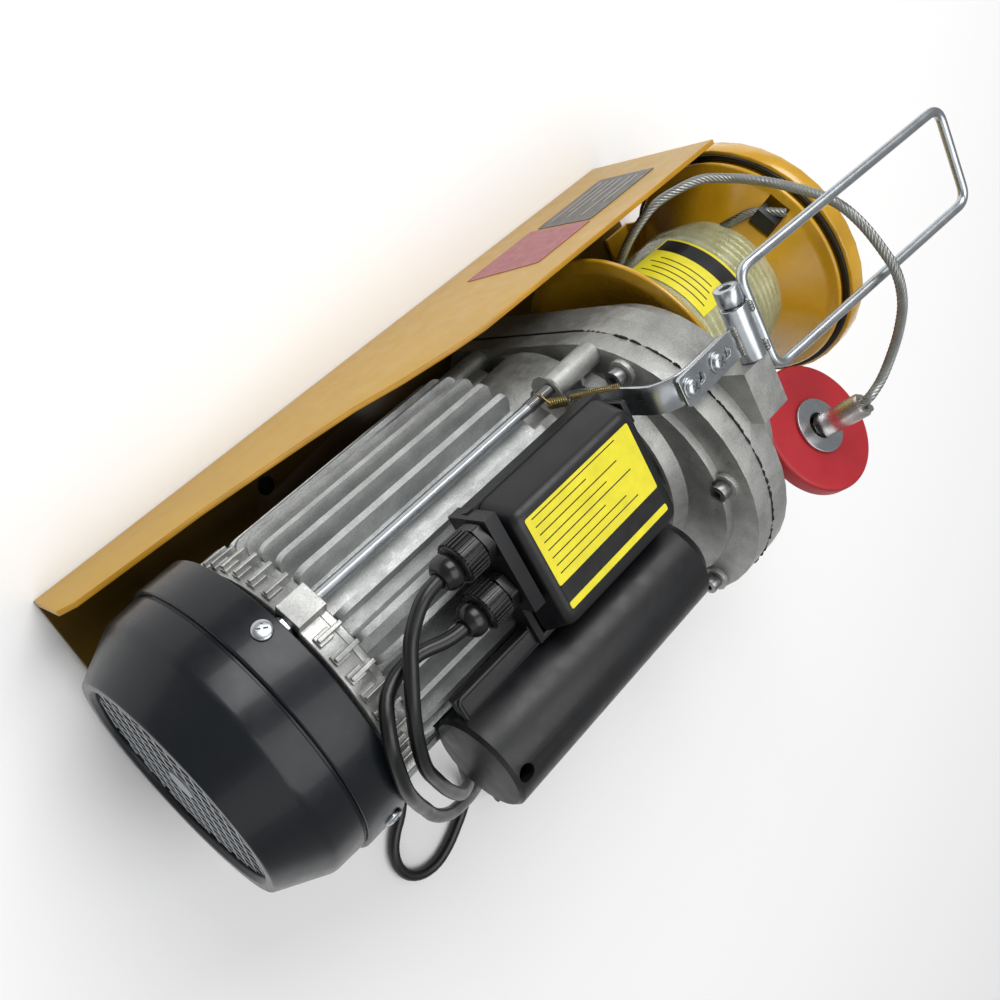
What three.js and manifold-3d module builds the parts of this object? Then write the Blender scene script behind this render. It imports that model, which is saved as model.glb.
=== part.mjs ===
// Electric wire rope hoist of the small 1 tonne class, lying on its mounting plate.
// Millimetres, +Z up. X runs along the motor and drum axis: the fan cover is at +X, the drum at -X.
// Z = 0 is the mounting face, X = 0 the middle of the frame, Y = 0 the motor and drum axis.
import * as THREE from "three";
import { ConvexGeometry } from "three/addons/geometries/ConvexGeometry.js";
import { mergeVertices } from "three/addons/utils/BufferGeometryUtils.js";
import Module from "manifold-3d";

const wasm = await Module();
wasm.setup();

// ---- driving dimensions -------------------------------------------------------------
const GAP = 0.4; // between pieces that touch
const FRAME_LENGTH = 450;
const SHEET = 3; // frame sheet thickness
const FLANGE_Y = -85; // outer face of the tall side flange
const PLATE_Y = 76; // far edge of the mounting plate
const AXIS_Z = 85; // height of the motor and drum axis

const COVER_R = 80; // fan cover
const COVER_LIP_R = 77.5;
const COVER_FACE_R = 63;
const COVER_X = [173, 197, 214, 239]; // open edge, groove, start of cone, end face
const FIN_R = 70;
const MOTOR_X = [9, 150]; // finned length
const SHELL_R = 57;
const BORE_R = 50;
const ROD_R = 66; // tie rod circle
const ROD_ANGLES = [45, 135, 225, 315];

const SEAM_X = -60; // joint between the gearbox halves
const GEARBOX = { y: 32, z: 114, r: 85, back: -98, front: -34 };
const STAGE = 52.5; // distance between the two gear axes
const STAGE_ANGLE = THREE.MathUtils.degToRad(24);
const MODULE = 2.5;
const TEETH = { motor: 8, first: 34, second: 10, output: 32 };

const DRUM_X = [-103.5, -122, -200, -222]; // rim, foot, foot, rim of the two flanges
const DRUM_CORE_R = 33;
const DRUM_RIM_R = 74;
const WINDING_R = 49.4; // three layers of rope
const ROPE_D = 6;
const ROUND = 36; // sides of a large turned piece

const BOX_TOP = 184;
const BULGE = { y: 62, z: 155, r: 27, x0: -21, x1: 138 };
const PIVOT = { x: -84, z: 200, r: 7 };
const BAIL = { y0: -60.4, y1: -4.8, length: 171, tilt: 6.2, wire: 2.25 };

const STRIP = { y0: -38.5, y1: -22.5, leg: -27, foot: 120, thick: 2 };
const CABLE_D = 7;
const GLANDS = { power: [-32, 170], pendant: [-4, 166.6] }; // [y, z] on the fan end of the box
const DISC = { centre: [-155.8, 75.6, 158], normal: [-0.101, -0.404, 0.909], r: 40, thick: 11 };

// ---- materials ------------------------------------------------------------------------
const paint = (color, roughness, metalness = 0) =>
  new THREE.MeshStandardMaterial({ color, roughness, metalness });
const yellow = () => paint(0xd99a22, 0.35);
const castGrey = () => paint(0x8d8f90, 0.5, 0.7);
const aluminium = () => paint(0xa4a6a8, 0.4, 0.85);
const zinc = () => paint(0xc2c6c8, 0.25, 0.95);
const steel = () => paint(0x9a9c9e, 0.3, 0.95);
const darkSteel = () => paint(0x4a4c4e, 0.5, 0.8);
const blackPlastic = () => paint(0x1c1e20, 0.45);
const coverPlastic = () => paint(0x23282c, 0.3);
const rubber = () => paint(0x161718, 0.6);
const copper = () => paint(0xa8623a, 0.4, 0.8);
const redPlastic = () => paint(0xb52a33, 0.55);
const ropeWire = () => paint(0x9c9a84, 0.45, 0.7);

// ---- solids ---------------------------------------------------------------------------
function solid(geometry) {
  const bare = new THREE.BufferGeometry();
  bare.setAttribute("position", geometry.getAttribute("position"));
  if (geometry.index) bare.setIndex(geometry.index);
  const merged = mergeVertices(bare, 1e-4);
  const tri = new Uint32Array(merged.index.array);
  const build = () =>
    new wasm.Manifold(
      new wasm.Mesh({ numProp: 3, vertProperties: merged.attributes.position.array, triVerts: tri }),
    );
  const made = build();
  if (made.volume() > 0) return made;
  for (let i = 0; i < tri.length; i += 3) [tri[i + 1], tri[i + 2]] = [tri[i + 2], tri[i + 1]];
  return build();
}

function geometryOf(body) {
  const out = body.getMesh();
  const geometry = new THREE.BufferGeometry();
  geometry.setAttribute("position", new THREE.BufferAttribute(new Float32Array(out.vertProperties), 3));
  geometry.setIndex(new THREE.BufferAttribute(new Uint32Array(out.triVerts), 1));
  geometry.computeVertexNormals();
  return geometry;
}

const join = (...bodies) => bodies.reduce((a, b) => a.add(b));
const cut = (body, ...tools) => tools.reduce((a, b) => a.subtract(b), body);

const hoist = new THREE.Group();
function piece(name, body, material, group = hoist) {
  const mesh = new THREE.Mesh(geometryOf(body), material);
  mesh.name = name;
  group.add(mesh);
  return mesh;
}

// ---- shapes ---------------------------------------------------------------------------
function block(x, y, z) {
  const box = new THREE.BoxGeometry(x[1] - x[0], y[1] - y[0], z[1] - z[0]);
  box.translate((x[0] + x[1]) / 2, (y[0] + y[1]) / 2, (z[0] + z[1]) / 2);
  return solid(box);
}

const FRAMES = {
  x: new THREE.Matrix4().makeBasis(
    new THREE.Vector3(0, 1, 0), new THREE.Vector3(0, 0, 1), new THREE.Vector3(1, 0, 0)),
  y: new THREE.Matrix4().makeBasis(
    new THREE.Vector3(0, 0, 1), new THREE.Vector3(1, 0, 0), new THREE.Vector3(0, 1, 0)),
  z: new THREE.Matrix4(),
};

// A cylinder between two stations along an axis; the other two coordinates give its centre.
function rod(axis, span, centre, radius, sides = 16, endRadius = radius) {
  const body = new THREE.CylinderGeometry(endRadius, radius, span[1] - span[0], sides);
  body.rotateX(Math.PI / 2);
  body.applyMatrix4(FRAMES[axis]);
  const mid = (span[0] + span[1]) / 2;
  const at = { x: [mid, ...centre], y: [centre[0], mid, centre[1]], z: [...centre, mid] }[axis];
  body.translate(...at);
  return solid(body);
}

// A turned body about an axis parallel to X; the profile lists [x, r] and closes on itself.
function turned(profile, centre = [0, AXIS_Z], sides = ROUND) {
  const points = profile.map(([x, r]) => new THREE.Vector2(r, x));
  const onAxis = profile[0][1] === 0 && profile.at(-1)[1] === 0;
  if (!onAxis) points.push(points[0].clone());
  const body = new THREE.LatheGeometry(points, sides);
  body.rotateZ(-Math.PI / 2);
  body.translate(0, ...centre);
  return solid(body);
}

// An outline pushed along an axis: x takes [y, z] points, y takes [z, x], z takes [x, y].
function pushed(axis, span, outline, holes = []) {
  const drawn = () => new THREE.Shape(outline.map((p) => new THREE.Vector2(...p)));
  const shape = Array.isArray(outline) ? drawn() : outline;
  shape.holes.push(...holes);
  const depth = span[1] - span[0];
  const body = new THREE.ExtrudeGeometry(shape, { depth, bevelEnabled: false, curveSegments: 14 });
  body.translate(0, 0, span[0]);
  body.applyMatrix4(FRAMES[axis]);
  return solid(body);
}

// A plain tube along a smooth curve through hand-chosen points.
function tube(points, diameter, sides, steps, closed = false) {
  const stations = points.map((p) => new THREE.Vector3(...p));
  const path = new THREE.CatmullRomCurve3(stations, closed, "centripetal");
  const ring = new THREE.Shape();
  for (let i = 0; i < sides; i++) {
    const a = (i / sides) * 2 * Math.PI;
    const [x, y] = [(diameter / 2) * Math.cos(a), (diameter / 2) * Math.sin(a)];
    if (i) ring.lineTo(x, y);
    else ring.moveTo(x, y);
  }
  ring.closePath();
  return solid(new THREE.ExtrudeGeometry(ring, { steps, extrudePath: path, bevelEnabled: false }));
}

// Bodies that point away from the motor axis: a round pin, and a block of a given width.
function radial(geometry, degrees) {
  geometry.rotateX(THREE.MathUtils.degToRad(degrees));
  geometry.translate(0, 0, AXIS_Z);
  return solid(geometry);
}

function radialPin(degrees, x, from, to, radius, sides) {
  const pin = new THREE.CylinderGeometry(radius, radius, to - from, sides);
  pin.translate(x, (from + to) / 2, 0);
  return radial(pin, degrees);
}

function radialBlock(degrees, x, reach, width) {
  const bar = new THREE.BoxGeometry(x[1] - x[0], reach[1] - reach[0], width);
  bar.translate((x[0] + x[1]) / 2, (reach[0] + reach[1]) / 2, 0);
  return radial(bar, degrees);
}

const polar = (radius, degrees, centre = [0, AXIS_Z]) => {
  const a = THREE.MathUtils.degToRad(degrees);
  return [centre[0] + radius * Math.cos(a), centre[1] + radius * Math.sin(a)];
};

// A socket cap screw with its head at span[1] (or span[0] when it faces the other way).
function capScrew(axis, tip, head, centre, shankR, headR, headLength) {
  const way = Math.sign(head - tip);
  const shoulder = head - way * headLength;
  const ordered = (a, b) => (a < b ? [a, b] : [b, a]);
  const body = join(
    rod(axis, ordered(tip, shoulder + way * 0.1), centre, shankR, 10),
    rod(axis, ordered(shoulder, head), centre, headR, 14),
  );
  return cut(body, rod(axis, ordered(head - way * headLength * 0.6, head + way), centre, headR * 0.5, 6));
}

// ---- frame ----------------------------------------------------------------------------
function makeFrame() {
  const half = FRAME_LENGTH / 2;
  const flange = [
    [0.5, half], [36, half], [42, half - 8], [51, 146], [59, 112], [66, 85], [74, 58], [87, 34],
    [98, 4], [103, -16], [104, -half], [0.5, -half],
  ];
  const plate = block([-half, half], [FLANGE_Y, PLATE_Y], [0, SHEET]);
  const side = pushed("y", [FLANGE_Y, FLANGE_Y + SHEET], flange);
  const holes = [];
  for (const x of [-175, 93])
    for (const y of [-57, 56]) holes.push(rod("z", [-1, SHEET + 1], [x, y], 5.5));
  piece("frame_plate", cut(join(plate, side), ...holes), yellow());

  const back = -half - GAP;
  const pan = turned([
    [back, 17.4], [back, 79.4], [back - 12, 79.4], [back - 12, 76.4], [back - SHEET, 76.4],
    [back - SHEET, 24], [back - 15, 24], [back - 15, 6], [back - 12, 6], [back - 12, 17.4],
  ]);
  const tab = join(
    block([back - SHEET, back], [-42, 42], [SHEET + GAP, 14]),
    block([back - 1, back + 22], [-42, 42], [SHEET + GAP, 2 * SHEET + GAP]),
  );
  piece("end_plate", join(pan, tab), yellow());
  piece("end_bearing", turned([
    [back - 11.6, 8.4], [back - 11.6, 17], [back - 1.6, 17], [back - 1.6, 8.4],
  ], undefined, 24), steel());
}

// ---- gearbox --------------------------------------------------------------------------
const STAGE_AT = [STAGE * Math.cos(STAGE_ANGLE), AXIS_Z + STAGE * Math.sin(STAGE_ANGLE)];

// The outline of both halves: round above, a straight flat side towards the frame flange
// and a flat foot that stands on the mounting plate.
// Drawn in by some millimetres, it keeps its flat side and loses width on the far side.
function gearboxOutline(inset, foot, drawnIn = 0) {
  const y = GEARBOX.y - drawnIn;
  const radius = GEARBOX.r - drawnIn - inset;
  const floor = foot + inset;
  const [cornerY, startAngle, chamfer] = [66, -48, 12];
  const shape = new THREE.Shape();
  shape.moveTo(cornerY - drawnIn - inset, floor);
  shape.lineTo(...polar(radius, startAngle, [y, GEARBOX.z]));
  shape.absarc(y, GEARBOX.z, radius, THREE.MathUtils.degToRad(startAngle), Math.PI, false);
  shape.lineTo(y - radius, floor + chamfer);
  shape.lineTo(y - radius + chamfer, floor);
  shape.closePath();
  return shape;
}

const DOME_AT = [18, 100]; // centre of the cover's round ridge
const SCREWS = [[-42, 63], [-35, 150], [35, 185], [102, 147], [92, 66]];

function makeGearbox() {
  const foot = SHEET + GAP;
  const { back, front } = GEARBOX;
  const wall = 6;
  const flange = 14; // depth of the housing's bolting flange
  const narrower = 12;
  const outerBack = join(
    pushed("x", [SEAM_X - flange, SEAM_X - GAP / 2], gearboxOutline(0, foot)),
    pushed("x", [back + 12, SEAM_X - flange + 0.1], gearboxOutline(0, foot, narrower)),
    pushed("x", [back, back + 12.1], gearboxOutline(6, foot - 6, narrower)),
  );
  const bearingBoss = turned([
    [back - 13, 10.4], [back - 13, 24], [back + 1, 28], [back + 1, 10.4],
  ], undefined, 24);
  const pivotBlock = block([-89.4, -68], [-17, 12], [176, 205]);
  const housingCavity = pushed("x", [back + wall, SEAM_X + 1], gearboxOutline(wall + 5, foot, narrower));
  const countershaftSeat = rod("x", [back + wall - 0.5, back + wall + 6], STAGE_AT, 13);
  let housing = cut(join(outerBack, pivotBlock), housingCavity);
  housing = join(housing, bearingBoss, countershaftSeat);
  for (const at of SCREWS) housing = join(housing, rod("x", [SEAM_X - 13, SEAM_X - GAP / 2], at, 7.5, 12));
  housing = cut(
    housing,
    rod("x", [back - 20, SEAM_X - 20], [0, AXIS_Z], 10.4, 24),
    rod("x", [back + wall + 1, SEAM_X], STAGE_AT, 8.4, 16),
    rod("y", [-20, 8], [PIVOT.x, PIVOT.z], 4.4),
    ...SCREWS.map((at) => rod("x", [SEAM_X - 14, SEAM_X + 1], at, 3.4, 10)),
  );
  piece("gearbox_housing", housing, castGrey());

  // Motor side: a rim, a web with a round ridge, ribs in a recess, and the neck that carries the motor.
  const rimFront = SEAM_X + 13;
  const webFront = SEAM_X + 18;
  const rim = pushed("x", [SEAM_X + GAP / 2, rimFront], gearboxOutline(0, foot));
  const web = pushed("x", [rimFront - 0.5, webFront], gearboxOutline(16, foot));
  const dome = turned([
    [webFront - 0.5, 0], [webFront - 0.5, 64], [front - 3, 61], [front, 60], [front, 0],
  ], DOME_AT, 48);
  const neck = turned([[front - 9, 0], [front - 9, 52], [MOTOR_X[0] - 4, 50], [MOTOR_X[0] - 4, 0]]);
  const ribAngles = [2, 24, 38, 66, 96, 122, 150, 180, 205, 250, 290, 330];
  const recess = cut(
    turned([[webFront - 3, 0], [webFront - 3, 56.5], [front + 1, 58], [front + 1, 0]], DOME_AT, 48),
    rod("x", [webFront - 4, front + 2], [0, AXIS_Z], 51.8, ROUND),
    ...ribAngles.map((angle) => radialBlock(angle, [webFront - 4, front - 1.5], [40, 90], 4)),
  );
  let cover = join(cut(join(rim, web, dome), recess), neck);
  for (const angle of ROD_ANGLES) {
    const lug = rod("x", [-14, MOTOR_X[0] - 4], polar(ROD_R - 5, angle), 11, 12);
    cover = join(cover, lug, rod("x", [front - 4, -13], polar(ROD_R - 12, angle), 7, 12, 10));
  }
  cover = join(cover, ...SCREWS.map((at) => rod("x", [SEAM_X + 4, rimFront + 3], at, 7.5, 12)));
  const coverCavity = pushed("x", [SEAM_X - 1, SEAM_X + 10.5], gearboxOutline(wall + 5, foot));
  cover = cut(
    cover,
    coverCavity,
    rod("x", [SEAM_X, MOTOR_X[0] + 2], [0, AXIS_Z], 11.4, 24),
    rod("x", [SEAM_X + 10, SEAM_X + 16.5], STAGE_AT, 8.4),
    ...ROD_ANGLES.map((angle) => rod("x", [-30, MOTOR_X[0] + 2], polar(ROD_R, angle), 3.4, 10)),
    rod("x", [BULGE.x0 - 4, MOTOR_X[0]], [BULGE.y, BULGE.z], BULGE.r + 1, 24),
    block([-35, -13], [-42, -19], [STRIP.foot - 6, 170]),
    ...SCREWS.map((at) => rod("x", [SEAM_X - 1, rimFront + 8], at, 3.4, 10)),
    ...SCREWS.map((at) => rod("x", [rimFront + 3, front + 1], at, 6, 12)),
  );
  piece("gearbox_cover", cover, castGrey());
  SCREWS.forEach((at, i) =>
    piece("gearbox_screw_" + (i + 1), capScrew("x", SEAM_X - 12, rimFront + 9.4, at, 3, 5, 6), steel()));
}

// Teeth as plain trapezoids. Slim enough to leave play on both flanks.
function gear(teeth, span, centre, bore, phase) {
  const shape = new THREE.Shape();
  const pitch = (teeth * MODULE) / 2;
  const step = (2 * Math.PI) / teeth;
  const [root, tip] = [pitch - 1.25 * MODULE, pitch + 0.8 * MODULE];
  for (let i = 0; i < teeth; i++) {
    const mid = phase + i * step;
    for (const [radius, off] of [[root, -0.3], [tip, -0.11], [tip, 0.11], [root, 0.3]]) {
      const a = mid + off * step;
      const at = [centre[0] + radius * Math.cos(a), centre[1] + radius * Math.sin(a)];
      if (i === 0 && off === -0.3) shape.moveTo(...at);
      else shape.lineTo(...at);
    }
  }
  shape.closePath();
  const holes = bore ? [new THREE.Path().absarc(...centre, bore, 0, 2 * Math.PI, true)] : [];
  return pushed("x", span, shape, holes);
}

function makeGears() {
  const axis = [0, AXIS_Z];
  const towards = STAGE_ANGLE;
  const away = STAGE_ANGLE + Math.PI;
  const halfStep = (teeth) => Math.PI / teeth;
  piece("output_gear", join(
    gear(TEETH.output, [-86, -74], axis, 10.4, towards),
    turned([[-74.5, 10.4], [-74.5, 18], [-68, 18], [-68, 10.4]], axis, 20),
  ), steel());
  piece("countershaft_gear", join(
    gear(TEETH.first, [-57, -50.5], STAGE_AT, 0, away),
    gear(TEETH.second, [-85.5, -56], STAGE_AT, 0, away + halfStep(TEETH.second)),
    rod("x", [-90.6, -44], STAGE_AT, 8),
  ), steel());
  piece("motor_shaft", join(
    gear(TEETH.motor, [-58, -50.2], axis, 0, towards + halfStep(TEETH.motor)),
    rod("x", [-50.5, 186], axis, 8),
  ), steel());
}

// ---- motor ----------------------------------------------------------------------------
function makeMotor() {
  const axis = [0, AXIS_Z];
  const outline = new THREE.Shape();
  const fins = 32;
  const step = (2 * Math.PI) / fins;
  for (let i = 0; i < fins; i++) {
    const mid = i * step;
    for (const [radius, off] of [[SHELL_R, -0.26], [FIN_R, -0.15], [FIN_R, 0.15], [SHELL_R, 0.26]]) {
      const a = mid + off * step;
      const at = [radius * Math.cos(a), AXIS_Z + radius * Math.sin(a)];
      if (i === 0 && off === -0.26) outline.moveTo(...at);
      else outline.lineTo(...at);
    }
  }
  outline.closePath();
  let body = pushed("x", [MOTOR_X[0] - 4 + GAP, MOTOR_X[1]], outline);
  const bore = rod("x", [MOTOR_X[0] - 10, MOTOR_X[1] + 1], axis, BORE_R, ROUND);
  const rodChannels = ROD_ANGLES.map((angle) => radialBlock(angle, [0, 160], [60, 80], 12));
  const boxPad = block([-20, 92], [-46, 60], [152.6, 200]);
  const bulgeRoom = rod("x", [BULGE.x0 - 5, BULGE.x1 + 4], [BULGE.y, BULGE.z], BULGE.r + 1, 24);
  body = cut(body, bore, boxPad, bulgeRoom, ...rodChannels);
  piece("motor_housing", body, aluminium());

  const stator = join(
    turned([[36, 33], [36, BORE_R - GAP], [112, BORE_R - GAP], [112, 33]], axis, 24),
    turned([[20, 36], [20, 46], [128, 46], [128, 36]], axis, 24),
  );
  piece("stator", stator, copper());
  piece("rotor", turned([[34, 8.4], [34, 32.4], [114, 32.4], [114, 8.4]], axis, 24), darkSteel());

  // End shield: a disc with a bearing seat and a castellated rim under the fan cover.
  const x0 = MOTOR_X[1] + GAP;
  let shield = join(
    turned([[x0, 14], [x0, 68], [x0 + 17, 68], [x0 + 17, 60], [x0 + 8, 60], [x0 + 8, 14]], axis),
    turned([[x0 - 8, 8.6], [x0 - 8, 18], [x0 + 14, 18], [x0 + 14, 8.6]], axis, 24),
    ...ROD_ANGLES.map((angle) => rod("x", [x0, x0 + 18], polar(ROD_R, angle), 8, 12)),
  );
  const notches = [];
  for (let i = 0; i < 20; i++) {
    const angle = i * 18 + 9;
    if (ROD_ANGLES.some((a) => Math.abs(a - angle) < 11)) continue;
    notches.push(radialBlock(angle, [x0 + 4, x0 + 12], [62, 74], 9));
  }
  const rodHoles = ROD_ANGLES.map((a) => rod("x", [140, 180], polar(ROD_R, a), 3.4, 10));
  shield = cut(shield, ...notches, ...rodHoles);
  piece("end_shield", shield, aluminium());
  ROD_ANGLES.forEach((angle, i) => {
    const at = polar(ROD_R, angle);
    const body = join(
      rod("x", [-19, x0 + 18.6], at, 3, 10),
      rod("x", [x0 + 18 + GAP, x0 + 22], at, 5.5, 6),
    );
    piece("tie_rod_" + (i + 1), body, zinc());
  });

  // Fan: a hub disc and six blades.
  const blades = [turned([[183, 8.4], [183, 20], [200, 18], [200, 8.4]], axis, 16),
    turned([[183, 19], [183, 56], [185, 56], [185, 19]], axis, 24)];
  for (let i = 0; i < 6; i++) {
    blades.push(radialBlock(i * 60, [184.5, 204.5], [20, 54], 2.2));
  }
  piece("cooling_fan", join(...blades), blackPlastic());
  makeFanCover(axis);
}

function makeFanCover(axis) {
  const [open, groove, cone, face] = COVER_X;
  const t = 2.5;
  const outside = turned([
    [open, 0], [open, COVER_R], [groove, COVER_R], [groove + 1.5, COVER_LIP_R], [cone, COVER_LIP_R - 0.5],
    [face - 2, COVER_FACE_R + 1.5], [face, COVER_FACE_R], [face, 0],
  ], axis);
  const hollow = turned([
    [open - 1, 0], [open - 1, COVER_R - t], [groove - 2, COVER_R - t], [groove, COVER_LIP_R - t],
    [cone, COVER_LIP_R - 0.5 - t], [face - t, COVER_FACE_R - 2], [face - t, 0],
  ], axis);
  const lugs = ROD_ANGLES.map((angle) => radialBlock(angle, [open + 1, open + 15], [69, COVER_R - 1], 12));
  const bars = [];
  const pitch = 20;
  for (let row = -2; row <= 2; row++) {
    const halfWidth = Math.sqrt(55 * 55 - (row * pitch) ** 2);
    const z = AXIS_Z + row * pitch;
    bars.push(block([face - 6, face + 2], [-halfWidth, -2], [z - 8, z + 8]));
    bars.push(block([face - 6, face + 2], [2, halfWidth], [z - 8, z + 8]));
  }
  const screwHoles = ROD_ANGLES.map((angle) => radialPin(angle, open + 8, 60, 90, 2.4, 10));
  const cover = cut(join(cut(outside, hollow), ...lugs), ...bars, ...screwHoles);
  piece("fan_cover", cover, coverPlastic());
  ROD_ANGLES.forEach((angle, i) => {
    const head = radialPin(angle, open + 8, COVER_R + GAP, COVER_R + 3, 5, 12);
    const shank = radialPin(angle, open + 8, COVER_R - 8, COVER_R + 1, 2, 8);
    piece("cover_screw_" + (i + 1), join(head, shank), zinc());
  });
}

// ---- drum and rope ----------------------------------------------------------------------
function makeDrum() {
  const axis = [0, AXIS_Z];
  const [rimNear, footNear, footFar, rimFar] = DRUM_X;
  const t = SHEET;
  const drum = turned([
    [rimNear, DRUM_RIM_R], [rimNear - t, DRUM_RIM_R], [rimNear - t - 1, 67],
    [footNear - t, DRUM_CORE_R + 3],
    [footNear - t - 2, DRUM_CORE_R], [footFar + t + 2, DRUM_CORE_R], [footFar + t, DRUM_CORE_R + 3],
    [rimFar + t + 1, 67], [rimFar + t, DRUM_RIM_R], [rimFar, DRUM_RIM_R], [rimFar, 67],
    [footFar, DRUM_CORE_R - t], [footFar, 10.4], [footFar + 5, 10.4], [footFar + 5, DRUM_CORE_R - t],
    [footNear - 5, DRUM_CORE_R - t], [footNear - 5, 10.4], [footNear, 10.4], [footNear, DRUM_CORE_R - t],
    [rimNear, 66],
  ], axis);
  piece("drum", cut(drum, radialBlock(127, [rimFar - 5, footFar + 5], [50, 68], 15)), yellow());
  piece("rope_wedge", radialBlock(127, [-216, -207], [52, 63], 14), blackPlastic());
  const inner = DRUM_CORE_R + GAP;
  piece("rope_winding", turned([
    [footNear - 6, inner], [footNear + 3.4, WINDING_R], [footFar - 5.4, WINDING_R], [footFar + 6, inner],
  ], axis), ropeWire());
  piece("drum_shaft", join(
    rod("x", [-236.8, -220], axis, 8),
    rod("x", [-221, -66], axis, 10),
  ), steel());
}

// ---- control box --------------------------------------------------------------------------
function hull(points) {
  return solid(new ConvexGeometry(points.map((p) => new THREE.Vector3(...p))));
}

// A block with a smaller top: corners at two heights.
function tapered(low, high) {
  const corners = [];
  for (const [x, y, z] of [low, high])
    for (const a of x)
      for (const b of y) corners.push([a, b, z]);
  return hull(corners);
}

function makeControlBox() {
  const seam = 165;
  const [x0, x1] = [-14, 82];
  const bulgeAt = [BULGE.y, BULGE.z];
  const body = tapered([[x0, x1], [-42, 34], 153], [[x0, x1], [-44, 34], seam - GAP]);
  const head = block([77.8, 85], [-43, 9], [153, 180]);
  const web = block([70, BULGE.x1 - 4], [24, 50], [157, 161]);
  const dome = turned([
    [BULGE.x0 + 8, 0], [BULGE.x0, 12], [BULGE.x0, 20], [BULGE.x0 + 8, BULGE.r], [BULGE.x1 - 2, BULGE.r],
    [BULGE.x1, BULGE.r - 2], [BULGE.x1, 0],
  ], bulgeAt, 32);
  const room = [
    block([x0 + 3, 78.2], [-39, 31], [156, seam + 1]),
    block([74, 81.5], [-40, 6], [156, 177]),
    rod("x", [BULGE.x0 + 12, BULGE.x1 - 4], bulgeAt, 22, 24),
    block([10, 70], [20, 50], [156, 163]),
    ...Object.values(GLANDS).map((at) => rod("x", [79, 87], at, 6.9)),
    rod("x", [BULGE.x0 - 2, BULGE.x1 + 2], polar(ROD_R, 45), 3.6, 10),
  ];
  piece("control_box_base", cut(join(body, head, web, dome), ...room), blackPlastic());
  const lid = tapered([[x0, 77.4], [-43, 33], seam], [[-12, 74], [-36, 27], BOX_TOP]);
  const lidRoom = tapered([[x0 + 3, 75.4], [-40, 30], seam - 1], [[-9.5, 72], [-33.5, 24.5], BOX_TOP - 3]);
  const overBulge = rod("x", [-30, 90], bulgeAt, BULGE.r + GAP, 32);
  piece("control_box_lid", cut(lid, lidRoom, overBulge), blackPlastic());
  piece("start_capacitor", rod("x", [0, 105], bulgeAt, 19, 20), aluminium());
  piece("limit_switch", join(
    block([-18, -14 - GAP], [-37, -24], [158, 176]),
    rod("x", [-19.3, -17], [-30.5, 167], 2.6, 10),
  ), blackPlastic());
  for (const [name, at] of Object.entries(GLANDS)) {
    const nut = rod("x", [85 + GAP, 97], at, 11, 6);
    const thread = rod("x", [78.2, 86], at, 6.5);
    const dome = turned([[96, 0], [96, 9.4], [106, 9.4], [115, 6.6], [115, 0]], at, 16);
    const bore = rod("x", [70, 130], at, CABLE_D / 2 + GAP, 12);
    piece(name + "_gland", cut(join(thread, nut, dome), bore), rubber());
  }
}

// ---- limit lever ----------------------------------------------------------------------------
// The bail, its pivot tube and the slotted plate are one weldment; the strip bolts on below it.
function makeLimitLever() {
  const { x, z, r } = PIVOT;
  const tilt = THREE.MathUtils.degToRad(BAIL.tilt);
  const near = [x - 8.5, z + 3.3];
  const far = [near[0] - BAIL.length * Math.cos(tilt), near[1] + BAIL.length * Math.sin(tilt)];
  const inset = 7;
  const corner = (at, way, y, yWay) => [
    [at[0] + way * inset * Math.cos(tilt), y, at[1] - way * inset * Math.sin(tilt)],
    [at[0] + way * 2 * Math.cos(tilt), y + yWay * 2, at[1] - way * 2 * Math.sin(tilt)],
    [at[0], y + yWay * inset, at[1]],
  ];
  const mid = (BAIL.y0 + BAIL.y1) / 2;
  const loop = [
    [near[0], mid, near[1]],
    ...corner(near, -1, BAIL.y0, 1).reverse(),
    ...corner(far, 1, BAIL.y0, 1),
    ...corner(far, 1, BAIL.y1, -1).reverse(),
    ...corner(near, -1, BAIL.y1, -1),
  ];
  const wire = tube(loop, BAIL.wire * 2, 8, 44, true);
  const plateTop = z + 0.6;
  const { y0, y1, leg, foot, thick } = STRIP;
  const plate = block([x + 4, -31], [y0, y1], [plateTop - thick, plateTop]);
  const sleeve = rod("y", [-46.6, -17 - GAP], [x, z], r, 20);
  const bore = rod("y", [-50, -10], [x, z], 4.4);
  const screws = [-59, -37];
  const midY = (y0 + y1) / 2;
  const holes = screws.map((at) => rod("z", [plateTop - 8, plateTop + 4], [at, midY], 2.4, 10));
  piece("limit_bail", cut(join(sleeve, plate, wire), bore, ...holes), zinc());

  const under = plateTop - thick - GAP;
  const bend = 18;
  const arc = (radius) => {
    const points = [];
    const centre = [leg + thick - bend, under - bend];
    for (let i = 0; i <= 5; i++) points.push(polar(radius, 90 - i * 18, centre));
    return points.map(([px, pz]) => [pz, px]);
  };
  const strip = pushed("y", [y0, y1], [
    [under, -70], ...arc(bend), [foot, leg + thick], [foot, leg], ...arc(bend - thick).reverse(),
    [under - thick, -70],
  ]);
  piece("limit_strip", cut(strip, ...holes), zinc());
  screws.forEach((at, i) =>
    piece("strip_screw_" + (i + 1), join(
      rod("z", [under - thick - 3, plateTop + 1], [at, midY], 2, 8),
      rod("z", [plateTop + GAP, plateTop + 3], [at, midY], 4.6, 12),
    ), zinc()));
  piece("pivot_bolt", capScrew("y", 5, -57, [x, z], 4, 6.5, 9), zinc());
  const [from, to] = [[-22.5, -50, 138], [-34, -34, 172]];
  piece("lever_spring", tube([from, to], 4.8, 8, 1), steel());
}

// ---- rope tail, stopper and hook ------------------------------------------------------------
// Stations along the last straight stretch of rope, measured up from the top of the disc.
function alongRope(distance) {
  return DISC.centre.map((c, i) => c + distance * DISC.normal[i]);
}

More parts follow.
